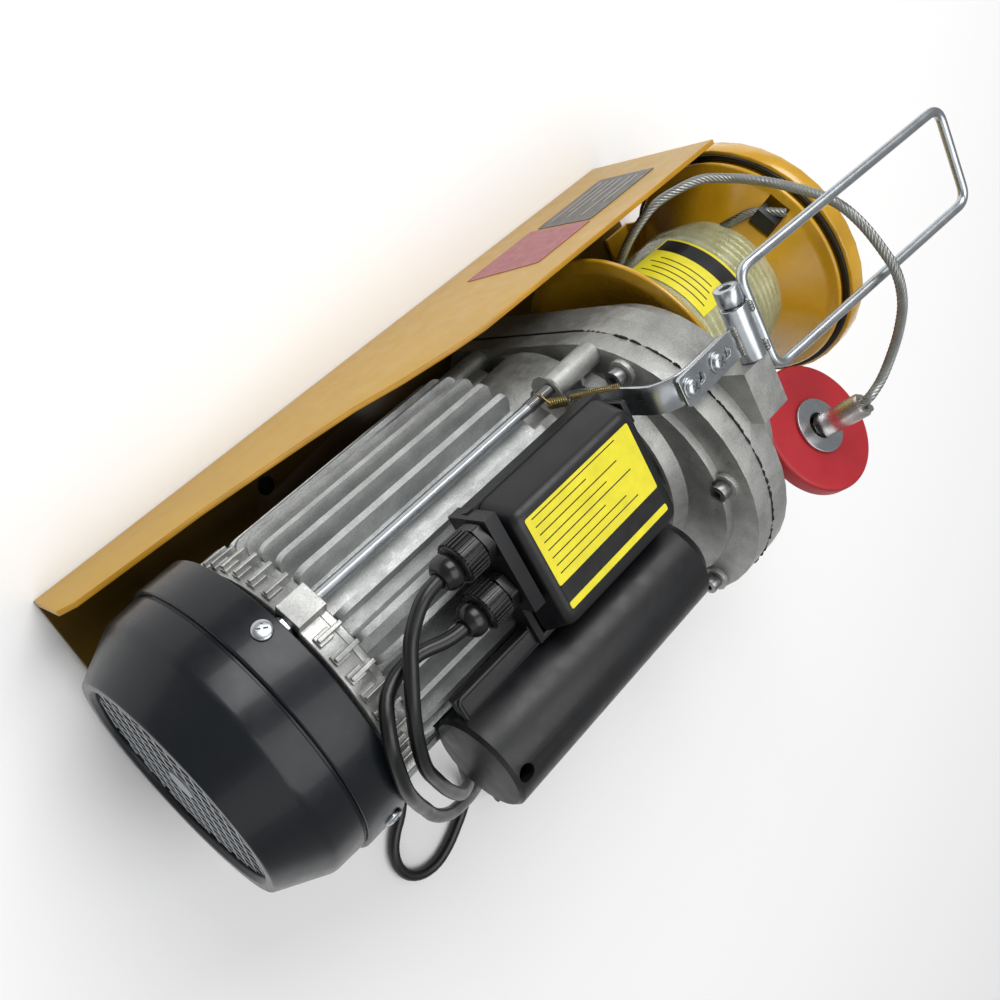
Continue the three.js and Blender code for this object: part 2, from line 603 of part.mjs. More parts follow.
// A body drawn about the local Z axis, set on the rope's line with its origin at a station.
function onRope(body, distance = 0) {
  const turn = new THREE.Quaternion().setFromUnitVectors(
    new THREE.Vector3(0, 0, 1), new THREE.Vector3(...DISC.normal).normalize());
  const place = new THREE.Matrix4().compose(
    new THREE.Vector3(...alongRope(distance)), turn, new THREE.Vector3(1, 1, 1));
  return body.transform(place.elements);
}

function ring(profile, sides) {
  const points = profile.map(([r, z]) => new THREE.Vector2(r, z));
  points.push(points[0].clone());
  const body = new THREE.LatheGeometry(points, sides);
  body.rotateX(Math.PI / 2);
  return solid(body);
}

function makeRope() {
  const route = [
    [-137, -54, 82], [-142, -65, 92], [-156, -77, 106], [-167, -79, 115], [-180, -78, 125],
    [-189, -72, 136], [-190, -68, 150], [-191, -62, 165], [-187, -56, 185], [-185, -48, 200],
    [-184, -36, 210], [-183, -19, 218], [-182, -6, 222], [-182, 11, 220], [-181, 28, 213],
    [-177, 43, 205], [-169, 54, 199], alongRope(38.6),
  ];
  piece("rope_tail", tube(route, ROPE_D, 8, 30), ropeWire());
  const { r, thick } = DISC;
  piece("rope_ferrule", onRope(rod("z", [1, 36], [0, 0], 6.6, 16)), aluminium());
  piece("stopper_washer", onRope(ring([[8, GAP], [17, GAP], [17, 2.2], [8, 2.2]], 24)), zinc());
  piece("stopper_disc", onRope(ring([
    [9, 0], [r - 2, 0], [r, -2], [r, 2 - thick], [r - 2, -thick], [9, -thick],
  ], ROUND)), redPlastic());
}

function makeHook() {
  // The end of the rope loops round a swivel eye; the hook's shank turns in the eye's collar.
  const loop = [
    [-4, 0, 0.4], [-4, 0, -10], [-8.5, 0, -24], [-8, 0, -32], [0, 0, -37],
    [8, 0, -32], [8.5, 0, -24], [4, 0, -10], [4, 0, 0.4],
  ];
  piece("rope_eye", onRope(tube(loop, ROPE_D, 8, 18)), ropeWire());
  const eyeCentre = -39.6;
  const eye = new THREE.TorusGeometry(9, 3, 6, 16);
  eye.rotateY(Math.PI / 2);
  eye.translate(0, 0, eyeCentre);
  const collar = rod("z", [-63, -50], [0, 0], 8, 16);
  const bore = rod("z", [-64, -53], [0, 0], 4.6, 16);
  piece("hook_eye", onRope(cut(join(solid(eye), collar), bore)), zinc());
  const bend = [
    [0, 0, -64], [1, 0, -72], [7, 0, -78], [15, 0, -86], [18, 0, -98], [12, 0, -111], [0, 0, -117],
    [-12, 0, -111], [-18, 0, -100], [-17, 0, -91],
  ];
  const shank = join(rod("z", [-70, -53.6], [0, 0], 4.2, 12), rod("z", [-70, -63.4], [0, 0], 7, 12));
  piece("load_hook", onRope(join(tube(bend, 10, 8, 18), shank)), zinc());
  const latch = pushed("y", [-4, 4], [[-82, 2], [-84, 3], [-93, -10], [-91, -11]]);
  piece("hook_latch", onRope(latch), zinc());
}

// ---- cables, plug and hand control --------------------------------------------------------------
const COIL = { r: 37, turns: 2, power: [-5, 147], pendant: [-105, 138.5] }; // centres on the floor
const FLOOR = CABLE_D / 2 + 0.3;

function coilRing(at) {
  const half = (COIL.turns * CABLE_D) / 2;
  const [low, high] = [GAP, GAP + COIL.turns * CABLE_D];
  const [inner, outer] = [COIL.r - half, COIL.r + half];
  const ringBody = ring([
    [inner, low + 2], [inner + 2, low], [outer - 2, low], [outer, low + 2], [outer, high - 2],
    [outer - 2, high], [inner + 2, high], [inner, high - 2],
  ], 28);
  return ringBody.translate([...at, 0]);
}

function makeCables() {
  const power = [
    [100, -32, 170], [116, -32, 170], [124, -30.5, 170], [132, -26, 170], [140, -20, 171], [147, -11, 172],
    [152, -3, 172], [157, 7, 171], [161, 20, 168], [162, 37, 161], [158, 52, 152], [150, 74, 137],
    [141, 90, 124], [129, 100, 108], [117, 106, 86], [104, 109, 63], [90, 110, 43], [74, 109, 25],
    [58, 107.5, 11], [42, 106.5, FLOOR + 1], [25, 106.5, FLOOR],
  ];
  const pendant = [
    [100, -4, 166.6], [116, -4, 166.6], [124, -5, 165.5], [136, -8, 162.5], [149, -8, 162],
    [160, -5, 164.5],
    [168, 2, 169], [173, 12, 170], [175, 24, 167], [175, 38, 161], [171, 54, 150], [166, 68, 139],
    [160, 84, 128], [148, 101, 114], [131, 115, 98], [115, 129, 79], [103, 147, 51], [95, 163, 25],
    [92, 177, 9], [96, 187, FLOOR + 0.5], [104, 193, FLOOR], [113, 198, FLOOR], [124, 203, FLOOR],
    [136, 205.5, FLOOR], [147, 203, FLOOR], [154.5, 196, FLOOR], [157, 186, FLOOR], [154, 175.5, FLOOR],
    [147, 167, FLOOR], [138, 160, FLOOR], [128, 149, FLOOR], [118, 136, FLOOR], [106, 121, FLOOR],
    [92, 107, FLOOR], [76, 99.5, FLOOR], [58, 98, FLOOR], [30, 98, FLOOR], [-20, 98, FLOOR],
    [-76, 98, FLOOR],
  ];
  piece("power_lead", tube(power, CABLE_D, 8, 30), rubber());
  piece("pendant_lead", tube(pendant, CABLE_D, 8, 48), rubber());
  piece("power_coil", coilRing(COIL.power), rubber());
  piece("pendant_coil", coilRing(COIL.pendant), rubber());
}

function makePlug() {
  const at = [187.5, 16.3];
  const [sleeve, body, face, pins] = [25, 38, 66, 85];
  const shell = join(
    rod("x", [sleeve, body + 1], at, 5, 16, 8),
    rod("x", [body, face - 8], at, 13, 24, 16),
    rod("x", [face - 8.1, face], at, 16, 24),
  );
  const prongs = [-9.5, 9.5].map((off) => rod("x", [face - 1, pins], [at[0] + off, at[1]], 2.4, 12));
  const bore = rod("x", [sleeve - 1, body + 4], at, CABLE_D / 2 + GAP, 12);
  piece("power_plug", cut(join(shell, ...prongs), bore), blackPlastic());
}

function makeHandControl() {
  const y = 98;
  const [sleeve, top, bottom] = [-134, -147, -252];
  const [low, high] = [GAP, 32];
  const outline = [
    [top, y - 12], [top - 8, y - 20], [bottom + 12, y - 20], [bottom, y - 12],
    [bottom, y + 12], [bottom + 12, y + 20], [top - 8, y + 20], [top, y + 12],
  ];
  const grip = rod("x", [top - 1, sleeve], [y, 12], 8, 16, 5);
  const bore = rod("x", [top - 4, sleeve + 1], [y, 12], CABLE_D / 2 + GAP, 12);
  const wells = [-175, -200].map((x) => rod("z", [high - 12, high + 1], [x, y], 9.5, 20));
  piece("pendant_body", cut(join(pushed("z", [low, high], outline), grip), bore, ...wells), blackPlastic());
  ["up_button", "down_button"].forEach((name, i) => {
    const key = rod("z", [high - 7, high + 5], [-175 - 25 * i, y], 9, 20, 8);
    piece(name, key, paint(0x343a3c, 0.4));
  });
}

makeFrame();
makeGearbox();
makeGears();
makeMotor();
makeDrum();
makeControlBox();
makeLimitLever();
makeRope();
makeHook();
makeCables();
makePlug();
makeHandControl();

export default hoist;
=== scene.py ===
"""Looks of the electric wire rope hoist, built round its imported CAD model.

Shapes are drawn in millimetres, in the CAD frame, and scaled to metres when a mesh is made.
X runs along the motor and drum axis, and Z = 0 is the underside of the mounting plate.
"""
import math

import bmesh
import bpy
import numpy as np
from mathutils import Matrix, Vector


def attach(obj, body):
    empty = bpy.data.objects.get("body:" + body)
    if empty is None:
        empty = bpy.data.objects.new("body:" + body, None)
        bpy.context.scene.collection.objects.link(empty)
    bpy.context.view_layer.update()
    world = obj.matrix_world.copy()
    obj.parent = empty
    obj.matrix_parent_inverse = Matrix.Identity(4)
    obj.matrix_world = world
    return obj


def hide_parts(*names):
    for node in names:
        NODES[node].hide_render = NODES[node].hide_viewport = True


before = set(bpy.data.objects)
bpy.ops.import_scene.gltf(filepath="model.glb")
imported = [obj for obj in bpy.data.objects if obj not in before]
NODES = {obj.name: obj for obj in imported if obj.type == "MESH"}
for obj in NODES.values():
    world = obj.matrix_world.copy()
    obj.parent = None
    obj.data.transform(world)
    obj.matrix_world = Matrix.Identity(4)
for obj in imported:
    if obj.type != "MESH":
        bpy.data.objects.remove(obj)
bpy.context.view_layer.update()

MM = 0.001
TURN = 2 * math.pi
AXIS = (0, 85)  # y and z of the motor and drum axis
ORIGIN = (0, 0)
BEVEL_ABOVE = 32  # degrees between two faces, above which their edge is rounded
rng = np.random.default_rng(7)


# ---- shapes: outlines, paths and closed meshes, in millimetres ----
def filleted(points, radius, steps=4, closed=True):
    """The outline with its corners rounded. radius is one value, or one for each corner."""
    pts = [np.array(p, float) for p in points]
    radii = [radius] * len(pts) if np.isscalar(radius) else list(radius)
    out = []
    for i, p in enumerate(pts):
        if radii[i] == 0 or (not closed and i in (0, len(pts) - 1)):
            out.append(p)
            continue
        before = pts[i - 1] - p
        after = pts[(i + 1) % len(pts)] - p
        reach = min(radii[i], 0.48 * np.linalg.norm(before), 0.48 * np.linalg.norm(after))
        a = p + before / np.linalg.norm(before) * reach
        b = p + after / np.linalg.norm(after) * reach
        for k in range(steps + 1):
            t = k / steps
            out.append((1 - t) ** 2 * a + 2 * t * (1 - t) * p + t * t * b)
    return out


def polar(radius, degrees, centre=(0, 0)):
    a = math.radians(degrees)
    return (centre[0] + radius * math.cos(a), centre[1] + radius * math.sin(a))


def smooth_path(points, step):
    """A centripetal Catmull-Rom curve through the points, sampled about every step."""
    pts = [np.array(p, float) for p in points]
    chain = [2 * pts[0] - pts[1], *pts, 2 * pts[-1] - pts[-2]]
    out = []
    for a, b, c, d in zip(chain, chain[1:], chain[2:], chain[3:]):
        knots = [0.0]
        for p, q in ((a, b), (b, c), (c, d)):
            knots.append(knots[-1] + max(np.linalg.norm(q - p) ** 0.5, 1e-9))
        t0, t1, t2, t3 = knots
        count = max(1, round(np.linalg.norm(c - b) / step))
        for k in range(count):
            t = t1 + (t2 - t1) * k / count
            ab = (a * (t1 - t) + b * (t - t0)) / (t1 - t0)
            bc = (b * (t2 - t) + c * (t - t1)) / (t2 - t1)
            cd = (c * (t3 - t) + d * (t - t2)) / (t3 - t2)
            abc = (ab * (t2 - t) + bc * (t - t0)) / (t2 - t0)
            bcd = (bc * (t3 - t) + cd * (t - t1)) / (t3 - t1)
            out.append((abc * (t2 - t) + bcd * (t - t1)) / (t2 - t1))
    out.append(pts[-1])
    return np.array(out)


def rings_to_mesh(rings, closed=False):
    """A skin over rings of equal counts, capped at both ends unless it closes on itself."""
    count = len(rings[0])
    verts = [v for ring in rings for v in ring]
    faces = []
    last = len(rings) if closed else len(rings) - 1
    for i in range(last):
        j = (i + 1) % len(rings)
        for k in range(count):
            m = (k + 1) % count
            faces.append((i * count + k, i * count + m, j * count + m, j * count + k))
    if not closed:
        faces.append(tuple(range(count - 1, -1, -1)))
        faces.append(tuple((len(rings) - 1) * count + k for k in range(count)))
    return verts, faces


def lathe(profile, centre=AXIS, sides=128):
    """A body turned about a line parallel to X. The profile lists [x, r] and closes on itself."""
    y, z = centre
    rings = []
    for i in range(sides):
        a = TURN * i / sides
        rings.append([(x, y + r * math.cos(a), z + r * math.sin(a)) for x, r in profile])
    return rings_to_mesh(rings, closed=True)


def ring(x, r, centre=AXIS, sides=128, edge=0.0, steps=4):
    """A turned ring from x[0] to x[1] and from r[0] to r[1]. edge rounds its corners."""
    profile = [(x[0], r[0]), (x[0], r[1]), (x[1], r[1]), (x[1], r[0])]
    return lathe(filleted(profile, edge, steps) if edge else profile, centre, sides)


def sweep(points, section, closed=False, twist=0.0):
    """A section carried along a path. section(i) gives [across, up] points at station i,
    and twist turns it by that many radians for each millimetre."""
    pts = np.array(points, float)
    ahead = np.roll(pts, -1, 0) if closed else np.vstack([pts[1:], 2 * pts[-1] - pts[-2]])
    behind = np.roll(pts, 1, 0) if closed else np.vstack([2 * pts[0] - pts[1], pts[:-1]])
    tangents = ahead - behind
    tangents /= np.linalg.norm(tangents, axis=1)[:, None]
    start = np.cross(tangents[0], (0, 0, 1))
    if np.linalg.norm(start) < 0.1:
        start = np.cross(tangents[0], (0, 1, 0))
    across = start / np.linalg.norm(start)
    rings = []
    travelled = 0.0
    for i, (p, t) in enumerate(zip(pts, tangents)):
        across = across - t * (across @ t)
        across /= np.linalg.norm(across)
        up = np.cross(t, across)
        if i:
            travelled += np.linalg.norm(p - pts[i - 1])
        c, s = math.cos(twist * travelled), math.sin(twist * travelled)
        rings.append([p + across * (a * c - b * s) + up * (a * s + b * c) for a, b in section(i)])
    return rings_to_mesh(rings, closed)


def circle(radius, sides, centre=(0, 0)):
    return [polar(radius, 360 * k / sides, centre) for k in range(sides)]


def tube(points, radius, sides, closed=False):
    """A round tube. radius is one value, or one for each point of the path."""
    radii = [radius] * len(points) if np.isscalar(radius) else radius
    return sweep(points, lambda i: circle(radii[i], sides), closed)


def prism(outline, axis, span):
    """An outline pushed along an axis: x takes [y, z] points, y takes [z, x], z takes [x, y]."""
    place = {
        "x": lambda p, s: (s, p[0], p[1]),
        "y": lambda p, s: (p[1], s, p[0]),
        "z": lambda p, s: (p[0], p[1], s),
    }[axis]
    return rings_to_mesh([[place(p, s) for p in outline] for s in span])


def rectangle(a, b, radius=0.0):
    corners = [(a[0], b[0]), (a[1], b[0]), (a[1], b[1]), (a[0], b[1])]
    return filleted(corners, radius) if radius else corners


def box(x, y, z):
    return prism(rectangle(x, y), "z", z)


def together(*parts):
    """Several meshes as one."""
    verts, faces = [], []
    for part_verts, part_faces in parts:
        faces += [tuple(len(verts) + k for k in face) for face in part_faces]
        verts += list(part_verts)
    return verts, faces


def moved(part, matrix):
    verts, faces = part
    return [tuple(matrix @ Vector(v)) for v in verts], faces


def turned_to(at, degrees, axis="X"):
    """A turn about a main axis, then a move to a point."""
    return Matrix.Translation(at) @ Matrix.Rotation(math.radians(degrees), 4, axis)


def frame_at(at, *axes):
    """A move to a point, with X, Y and Z along three directions."""
    return Matrix.Translation(at) @ Matrix(axes).transposed().to_4x4()


def radial_box(degrees, x, reach, width):
    """A block that points away from the motor axis."""
    return moved(box(x, reach, (-width / 2, width / 2)), turned_to((0, *AXIS), degrees))


def about_axis(radius, degrees, x):
    return (x, *polar(radius, degrees, AXIS))


# ---- pieces: Blender objects, in metres ----
def linked(name, data):
    obj = bpy.data.objects.new(name, data)
    bpy.context.scene.collection.objects.link(obj)
    return obj


def raw_object(name, part):
    """A mesh object whose faces all point out."""
    verts, faces = part
    mesh = bpy.data.meshes.new(name)
    mesh.from_pydata([tuple(float(c) * MM for c in v) for v in verts], [], faces)
    mesh.update()
    work = bmesh.new()
    work.from_mesh(mesh)
    bmesh.ops.recalc_face_normals(work, faces=work.faces)
    work.to_mesh(mesh)
    work.free()
    return linked(name, mesh)


def carve(obj, *tools):
    """Cuts other closed meshes out of an object."""
    for tool in tools:
        cutter = raw_object("cutter", tool)
        step = obj.modifiers.new("cut", "BOOLEAN")
        step.operation = "DIFFERENCE"
        step.solver = "EXACT"
        step.object = cutter
        bpy.context.view_layer.update()
        cut = obj.evaluated_get(bpy.context.evaluated_depsgraph_get())
        result = bpy.data.meshes.new_from_object(cut)
        obj.modifiers.remove(step)
        obj.data = result
        bpy.data.objects.remove(cutter)


def weld(obj):
    step = obj.modifiers.new("weld", "WELD")
    step.merge_threshold = 2e-6


def soften(obj, width, segments=3):
    """Rounded edges, with flat faces that stay flat in the light."""
    weld(obj)
    flat = obj.modifiers.new("flat", "DECIMATE")
    flat.decimate_type = "DISSOLVE"
    flat.angle_limit = math.radians(0.6)
    edge = obj.modifiers.new("edge", "BEVEL")
    edge.width = width * MM
    edge.segments = segments
    edge.limit_method = "ANGLE"
    edge.angle_limit = math.radians(BEVEL_ABOVE)
    edge.harden_normals = True
    edge.miter_outer = "MITER_ARC"


def dress(obj, finish):
    """One finish all over, with smooth shading."""
    obj.data.materials.clear()
    obj.data.materials.append(finish)
    obj.data.polygons.foreach_set("use_smooth", [True] * len(obj.data.polygons))


def piece(name, part, finish, body="frame", stands_for=(), edge=0.0, sharp=35, cuts=()):
    """A closed mesh as a piece that rides a body, with a finish and softened edges.
    Where edge is 0, edges over sharp degrees stay sharp and the others are shaded smooth."""
    obj = raw_object(name, part)
    carve(obj, *cuts)
    dress(obj, finish)
    if edge:
        soften(obj, edge)
    else:
        obj.data.set_sharp_from_angle(angle=math.radians(sharp))
    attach(obj, body)
    if stands_for:
        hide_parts(*stands_for)
    return obj


def refined(name, node, finish, edge, cuts, segments=4):
    """A finer copy of a CAD node of the frame, with rounder edges and parts of it cut away."""
    obj = linked(name, NODES[node].data.copy())
    weld(obj)
    carve(obj, *cuts)
    obj.modifiers.clear()
    dress(obj, finish)
    soften(obj, edge, segments)
    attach(obj, "frame")
    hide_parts(node)


def keep(names, finish, edge, segments=2):
    """CAD nodes whose shape is right: they get their finish and soft edges."""
    for name in names:
        dress(NODES[name], finish)
        soften(NODES[name], edge, segments)


# ---- materials ----
FOLD_SHADE_FADE = (0.0034, 0.0044)  # metres: the painted shade on the plate's upper face fades out over this height


class Finish:
    """A procedural material that is built up in layers of detail, in the object's own space."""

    def __init__(self, name, metallic=0.0, rough=0.5, **sockets):
        self.material = bpy.data.materials.new(name)
        self.material.use_nodes = True
        self.tree = self.material.node_tree
        self.shader = self.tree.nodes["Principled BSDF"]
        self.shader.inputs["Metallic"].default_value = metallic
        self.shader.inputs["Roughness"].default_value = rough
        for key, value in sockets.items():
            self.shader.inputs[key.replace("_", " ")].default_value = value
        self.place = self.tree.nodes.new("ShaderNodeTexCoord").outputs["Object"]
        self.normal = None

    def node(self, kind, **values):
        made = self.tree.nodes.new(kind)
        for key, value in values.items():
            setattr(made, key, value)
        return made

    def link(self, out, into):
        self.tree.links.new(out, into)

    def noise(self, size, detail, stretch=(1, 1, 1), rough=0.55):
        """Cloudy noise from 0 to 1. size is that of its blotches, in millimetres."""
        mapping = self.node("ShaderNodeMapping")
        mapping.inputs["Scale"].default_value = stretch
        self.link(self.place, mapping.inputs["Vector"])
        made = self.node("ShaderNodeTexNoise")
        made.inputs["Scale"].default_value = 1 / (size * MM)
        made.inputs["Detail"].default_value = detail
        made.inputs["Roughness"].default_value = rough
        self.link(mapping.outputs["Vector"], made.inputs["Vector"])
        return made.outputs["Fac"]

    def sides(self):
        """Two masks for the frame's painted light: the faces that look along -Y, which get a painted sheen,
        and the faces within the fold, which look along Y or lie on the plate and get painted shade."""
        place, way = self.node("ShaderNodeSeparateXYZ"), self.node("ShaderNodeSeparateXYZ")
        self.link(self.place, place.inputs["Vector"])
        self.link(self.node("ShaderNodeTexCoord").outputs["Normal"], way.inputs["Vector"])
        outer = self.spread(way.outputs["Y"], 1, 0, -0.97, -0.8)
        inner = self.node("ShaderNodeMath", operation="MAXIMUM")
        self.link(self.spread(way.outputs["Y"], 0, 1, 0.8, 0.97), inner.inputs[0])
        self.link(self.spread(place.outputs["Z"], 1, 0, *FOLD_SHADE_FADE), inner.inputs[1])
        return outer, inner.outputs[0]

    def spread(self, value, low, high, start=0.3, end=0.7):
        """Maps start..end of a value to low..high."""
        made = self.node("ShaderNodeMapRange")
        for key, number in (("From Min", start), ("From Max", end), ("To Min", low), ("To Max", high)):
            made.inputs[key].default_value = number
        self.link(value, made.inputs["Value"])
        return made.outputs["Result"]

    def times(self, a, b):
        made = self.node("ShaderNodeMath", operation="MULTIPLY")
        self.link(a, made.inputs[0])
        self.link(b, made.inputs[1])
        return made.outputs[0]

    def mix(self, amount, a, b):
        """Colour a where amount is 0 and b where it is 1. Each is a colour or a socket."""
        made = self.node("ShaderNodeMix", data_type="RGBA")
        self.link(amount, made.inputs["Factor"])
        for name, colour in (("A", a), ("B", b)):
            into = next(s for s in made.inputs if s.name == name and s.type == "RGBA")
            if isinstance(colour, tuple):
                into.default_value = (*colour, 1)
            else:
                self.link(colour, into)
        return next(s for s in made.outputs if s.type == "RGBA")

    def colour(self, socket):
        self.link(socket, self.shader.inputs["Base Color"])

    def roughness(self, value, low, high, start=0.3, end=0.7):
        self.link(self.spread(value, low, high, start, end), self.shader.inputs["Roughness"])

    def bump(self, value, depth):
        """Adds relief. depth is its height in millimetres."""
        made = self.node("ShaderNodeBump")
        made.inputs["Strength"].default_value = 1
        made.inputs["Distance"].default_value = depth * MM
        self.link(value, made.inputs["Height"])
        if self.normal:
            self.link(self.normal, made.inputs["Normal"])
        self.normal = made.outputs["Normal"]
        self.link(self.normal, self.shader.inputs["Normal"])


def srgb(red, green, blue):
    """A colour as seen on screen, 0 to 255, in linear light."""
    shares = [v / 255 for v in (red, green, blue)]
    return tuple(v / 12.92 if v < 0.04045 else ((v + 0.055) / 1.055) ** 2.4 for v in shares)


def paint(name, dark, light, coat, rough=(0.28, 0.42), face=None, painted_fold_shade=None):
    """Sprayed enamel on sheet steel: slow colour drift, orange peel and a thin gloss.
    The two last colours are a painted sheen on the sides that look along -Y and painted shade in the fold."""
    look = Finish(name, Coat_Weight=coat, Coat_Roughness=0.18)
    drift = look.spread(look.noise(38, 3), 0, 1)
    scuffs = look.spread(look.noise(5, 6, (0.25, 1, 1), 0.7), 0, 0.35, 0.62, 0.78)
    base = look.mix(drift, dark, light)
    # painted light: a painted sheen on the faces that look along -Y, painted shade within the fold
    if face:
        outer, inner = look.sides()
        base = look.mix(inner, base, painted_fold_shade)
        base = look.mix(outer, base, look.mix(drift, tuple(c * 0.93 for c in face), face))
    dusty = tuple(min(1.0, c * 1.15 + 0.03) for c in light)
    look.colour(look.mix(scuffs, base, dusty))
    look.roughness(look.noise(12, 5), *rough)
    look.bump(look.noise(2.2, 2), 0.045)
    look.bump(look.noise(0.5, 2), 0.006)
    return look.material


def cast(name, dark, light, grain=1.0, rough=(0.38, 0.6)):
    """Die-cast or sand-cast aluminium: grained skin, cloudy stains and dark speckle in them."""
    look = Finish(name, metallic=0.75)
    stains = look.spread(look.noise(16, 4), 0, 1)
    speckle = look.spread(look.noise(0.8, 3), 0, 1, 0.4, 0.7)
    deep = tuple(c * 0.72 for c in dark)
    base = look.mix(stains, dark, light)
    look.colour(look.mix(look.times(speckle, look.spread(stains, 0.7, 0.4, 0, 1)), base, deep))
    look.roughness(look.noise(6, 4), *rough)
    look.bump(look.noise(1.3, 4, rough=0.7), 0.22 * grain)
    look.bump(look.noise(0.45, 2), 0.09 * grain)
    return look.material


def plated(name, tone, rough, brush=(1, 1, 1), warm=(0.0, 0.0, 0.0)):
    """Plated or bare metal, with faint brushing and cloudy patches. warm tints the dark ones."""
    look = Finish(name, metallic=1.0)
    cloud = look.spread(look.noise(7, 5), 0, 1)
    light = tuple(min(1.0, c * 1.06) for c in tone)
    dark = tuple(max(0.0, c * 0.88 + w) for c, w in zip(tone, warm))
    look.colour(look.mix(cloud, dark, light))
    look.roughness(look.noise(9, 4, brush), *rough)
    look.bump(look.noise(0.9, 2, brush), 0.006)
    return look.material


def plastic(name, tone, rough, grain, coat=0.0, size=0.8, shine=0.5):
    """Moulded plastic: a texture of that size and depth, faint flow marks, lighter scuffs."""
    look = Finish(name, Coat_Weight=coat, Coat_Roughness=0.1, Specular_IOR_Level=shine)
    flow = look.spread(look.noise(45, 3), 0, 1)
    light = tuple(c * 1.25 + 0.001 for c in tone)
    scuffs = look.spread(look.noise(3, 7, (1, 0.2, 1), 0.75), 0, 0.25, 0.66, 0.8)
    look.colour(look.mix(scuffs, look.mix(flow, tone, light), tuple(c * 1.7 + 0.006 for c in tone)))
    look.roughness(look.noise(9, 5), *rough)
    look.bump(look.noise(size, 3), grain)
    return look.material


def printed(name, tone):
    """A printed vinyl label, with slight unevenness in the ink and the film."""
    look = Finish(name, Coat_Weight=0.3, Coat_Roughness=0.2)
    look.colour(look.mix(look.spread(look.noise(9, 5), 0, 1), tuple(c * 0.85 for c in tone), tone))
    look.roughness(look.noise(6, 4), 0.3, 0.45)
    look.bump(look.noise(5, 3), 0.04)
    return look.material


def film(name, dark, light):
    """Clear wrapping film, stretched and creased round the winding."""
    look = Finish(name, rough=0.12, Alpha=0.3, Coat_Weight=1.0)
    look.colour(look.mix(look.spread(look.noise(9, 5), 0, 1), dark, light))
    look.bump(look.noise(6, 4, (3, 1, 1)), 1.2)
    return look.material


# the face colour is a painted sheen, and the darker colour within the fold is painted shade
YELLOW = paint("yellow_paint", srgb(172, 124, 20), srgb(198, 146, 30), coat=0.1, face=srgb(187, 145, 38),
               painted_fold_shade=srgb(90, 68, 18))
GOLD = paint("drum_enamel", srgb(188, 140, 20), srgb(214, 164, 34), coat=0.7, rough=(0.2, 0.3))
CAST = cast("cast_gearbox", srgb(162, 163, 160), srgb(192, 193, 189))
FINS = cast("cast_motor", srgb(172, 174, 173), srgb(206, 208, 207), grain=1.3)
SHIELD = cast("cast_end_shield", srgb(150, 151, 149), srgb(188, 189, 186), grain=0.45, rough=(0.28, 0.42))
ZINC = plated("bright_zinc", srgb(188, 193, 197), rough=(0.24, 0.34))
STEEL = plated("steel", srgb(150, 150, 150), rough=(0.3, 0.5))
BRASS = plated("olive_chromate", srgb(150, 134, 84), rough=(0.25, 0.4), warm=(0.02, 0.0, 0.0))
DARK_STEEL = plated("dark_steel", srgb(70, 70, 72), rough=(0.35, 0.55))
WINDINGS = plated("copper_windings", srgb(168, 92, 52), rough=(0.3, 0.5), brush=(0.1, 1, 1))
COVER = plastic("cover_plastic", srgb(14, 18, 23), rough=(0.26, 0.36), grain=0.012, coat=0.15,
                size=3, shine=0.3)
BLACK = plastic("box_plastic", srgb(11, 12, 15), rough=(0.36, 0.48), grain=0.03, size=1.2)
GLAND = plastic("gland_nylon", srgb(12, 12, 14), rough=(0.2, 0.34), grain=0.02)
KEYS = plastic("button_plastic", srgb(52, 56, 58), rough=(0.3, 0.42), grain=0.03)
RUBBER = plastic("cable_rubber", srgb(10, 11, 13), rough=(0.28, 0.4), grain=0.015)
RED = plastic("red_plastic", srgb(158, 26, 36), rough=(0.42, 0.55), grain=0.04)
WIRE = plated("wire_strands", srgb(150, 152, 150), rough=(0.34, 0.5))
OILED_WIRE = plated("oiled_wire", srgb(176, 170, 120), rough=(0.2, 0.4), warm=(0.03, 0.02, 0.0))
LABEL_YELLOW = printed("label_yellow", srgb(236, 224, 50))
LABEL_BLACK = printed("label_black", srgb(20, 20, 22))
LABEL_RED = printed("label_red", srgb(150, 44, 62))
LABEL_GREY = printed("label_grey", srgb(150, 146, 140))
FERRULE = plated("ferrule_aluminium", srgb(216, 209, 206), rough=(0.2, 0.36))
GRILLE_GREY = plastic("grille_plastic", srgb(138, 142, 146), rough=(0.3, 0.45), grain=0.02)
SEAM = cast("seam_flash", srgb(26, 26, 26), srgb(64, 64, 64), grain=1.6, rough=(0.6, 0.8))
WELD = plated("weld_metal", srgb(150, 148, 142), rough=(0.3, 0.5))
FILM = film("clear_film", (0.62, 0.64, 0.36), (0.88, 0.9, 0.6))


# ---- camera ----
VIEW_AZIMUTH, VIEW_ELEVATION, VIEW_ROLL = 49.17, 52.605, 94.99  # degrees
VIEW_TARGET = (0.0336, -0.0186, 0.1)
VIEW_DISTANCE = 0.5809
VIEW_LENS = 40.294  # millimetres, on a sensor 36 mm wide
VIEW_SHIFT = (0.0244, -0.0141)


def make_camera():
    azimuth, elevation = math.radians(VIEW_AZIMUTH), math.radians(VIEW_ELEVATION)
    roll = math.radians(VIEW_ROLL)
    level = math.cos(elevation)
    back = Vector((level * math.sin(azimuth), -level * math.cos(azimuth), math.sin(elevation)))
    side = Vector((0, 0, 1)).cross(back).normalized()
    upright = back.cross(side)
    right = side * math.cos(roll) + upright * math.sin(roll)
    up = upright * math.cos(roll) - side * math.sin(roll)
    data = bpy.data.cameras.new("camera")
    data.lens = VIEW_LENS
    data.sensor_width = 36
    data.shift_x, data.shift_y = VIEW_SHIFT
    data.clip_start = 0.01
    camera = linked("camera", data)
    camera.matrix_world = frame_at(Vector(VIEW_TARGET) + back * VIEW_DISTANCE, right, up, back)
    bpy.context.scene.camera = camera


make_camera()


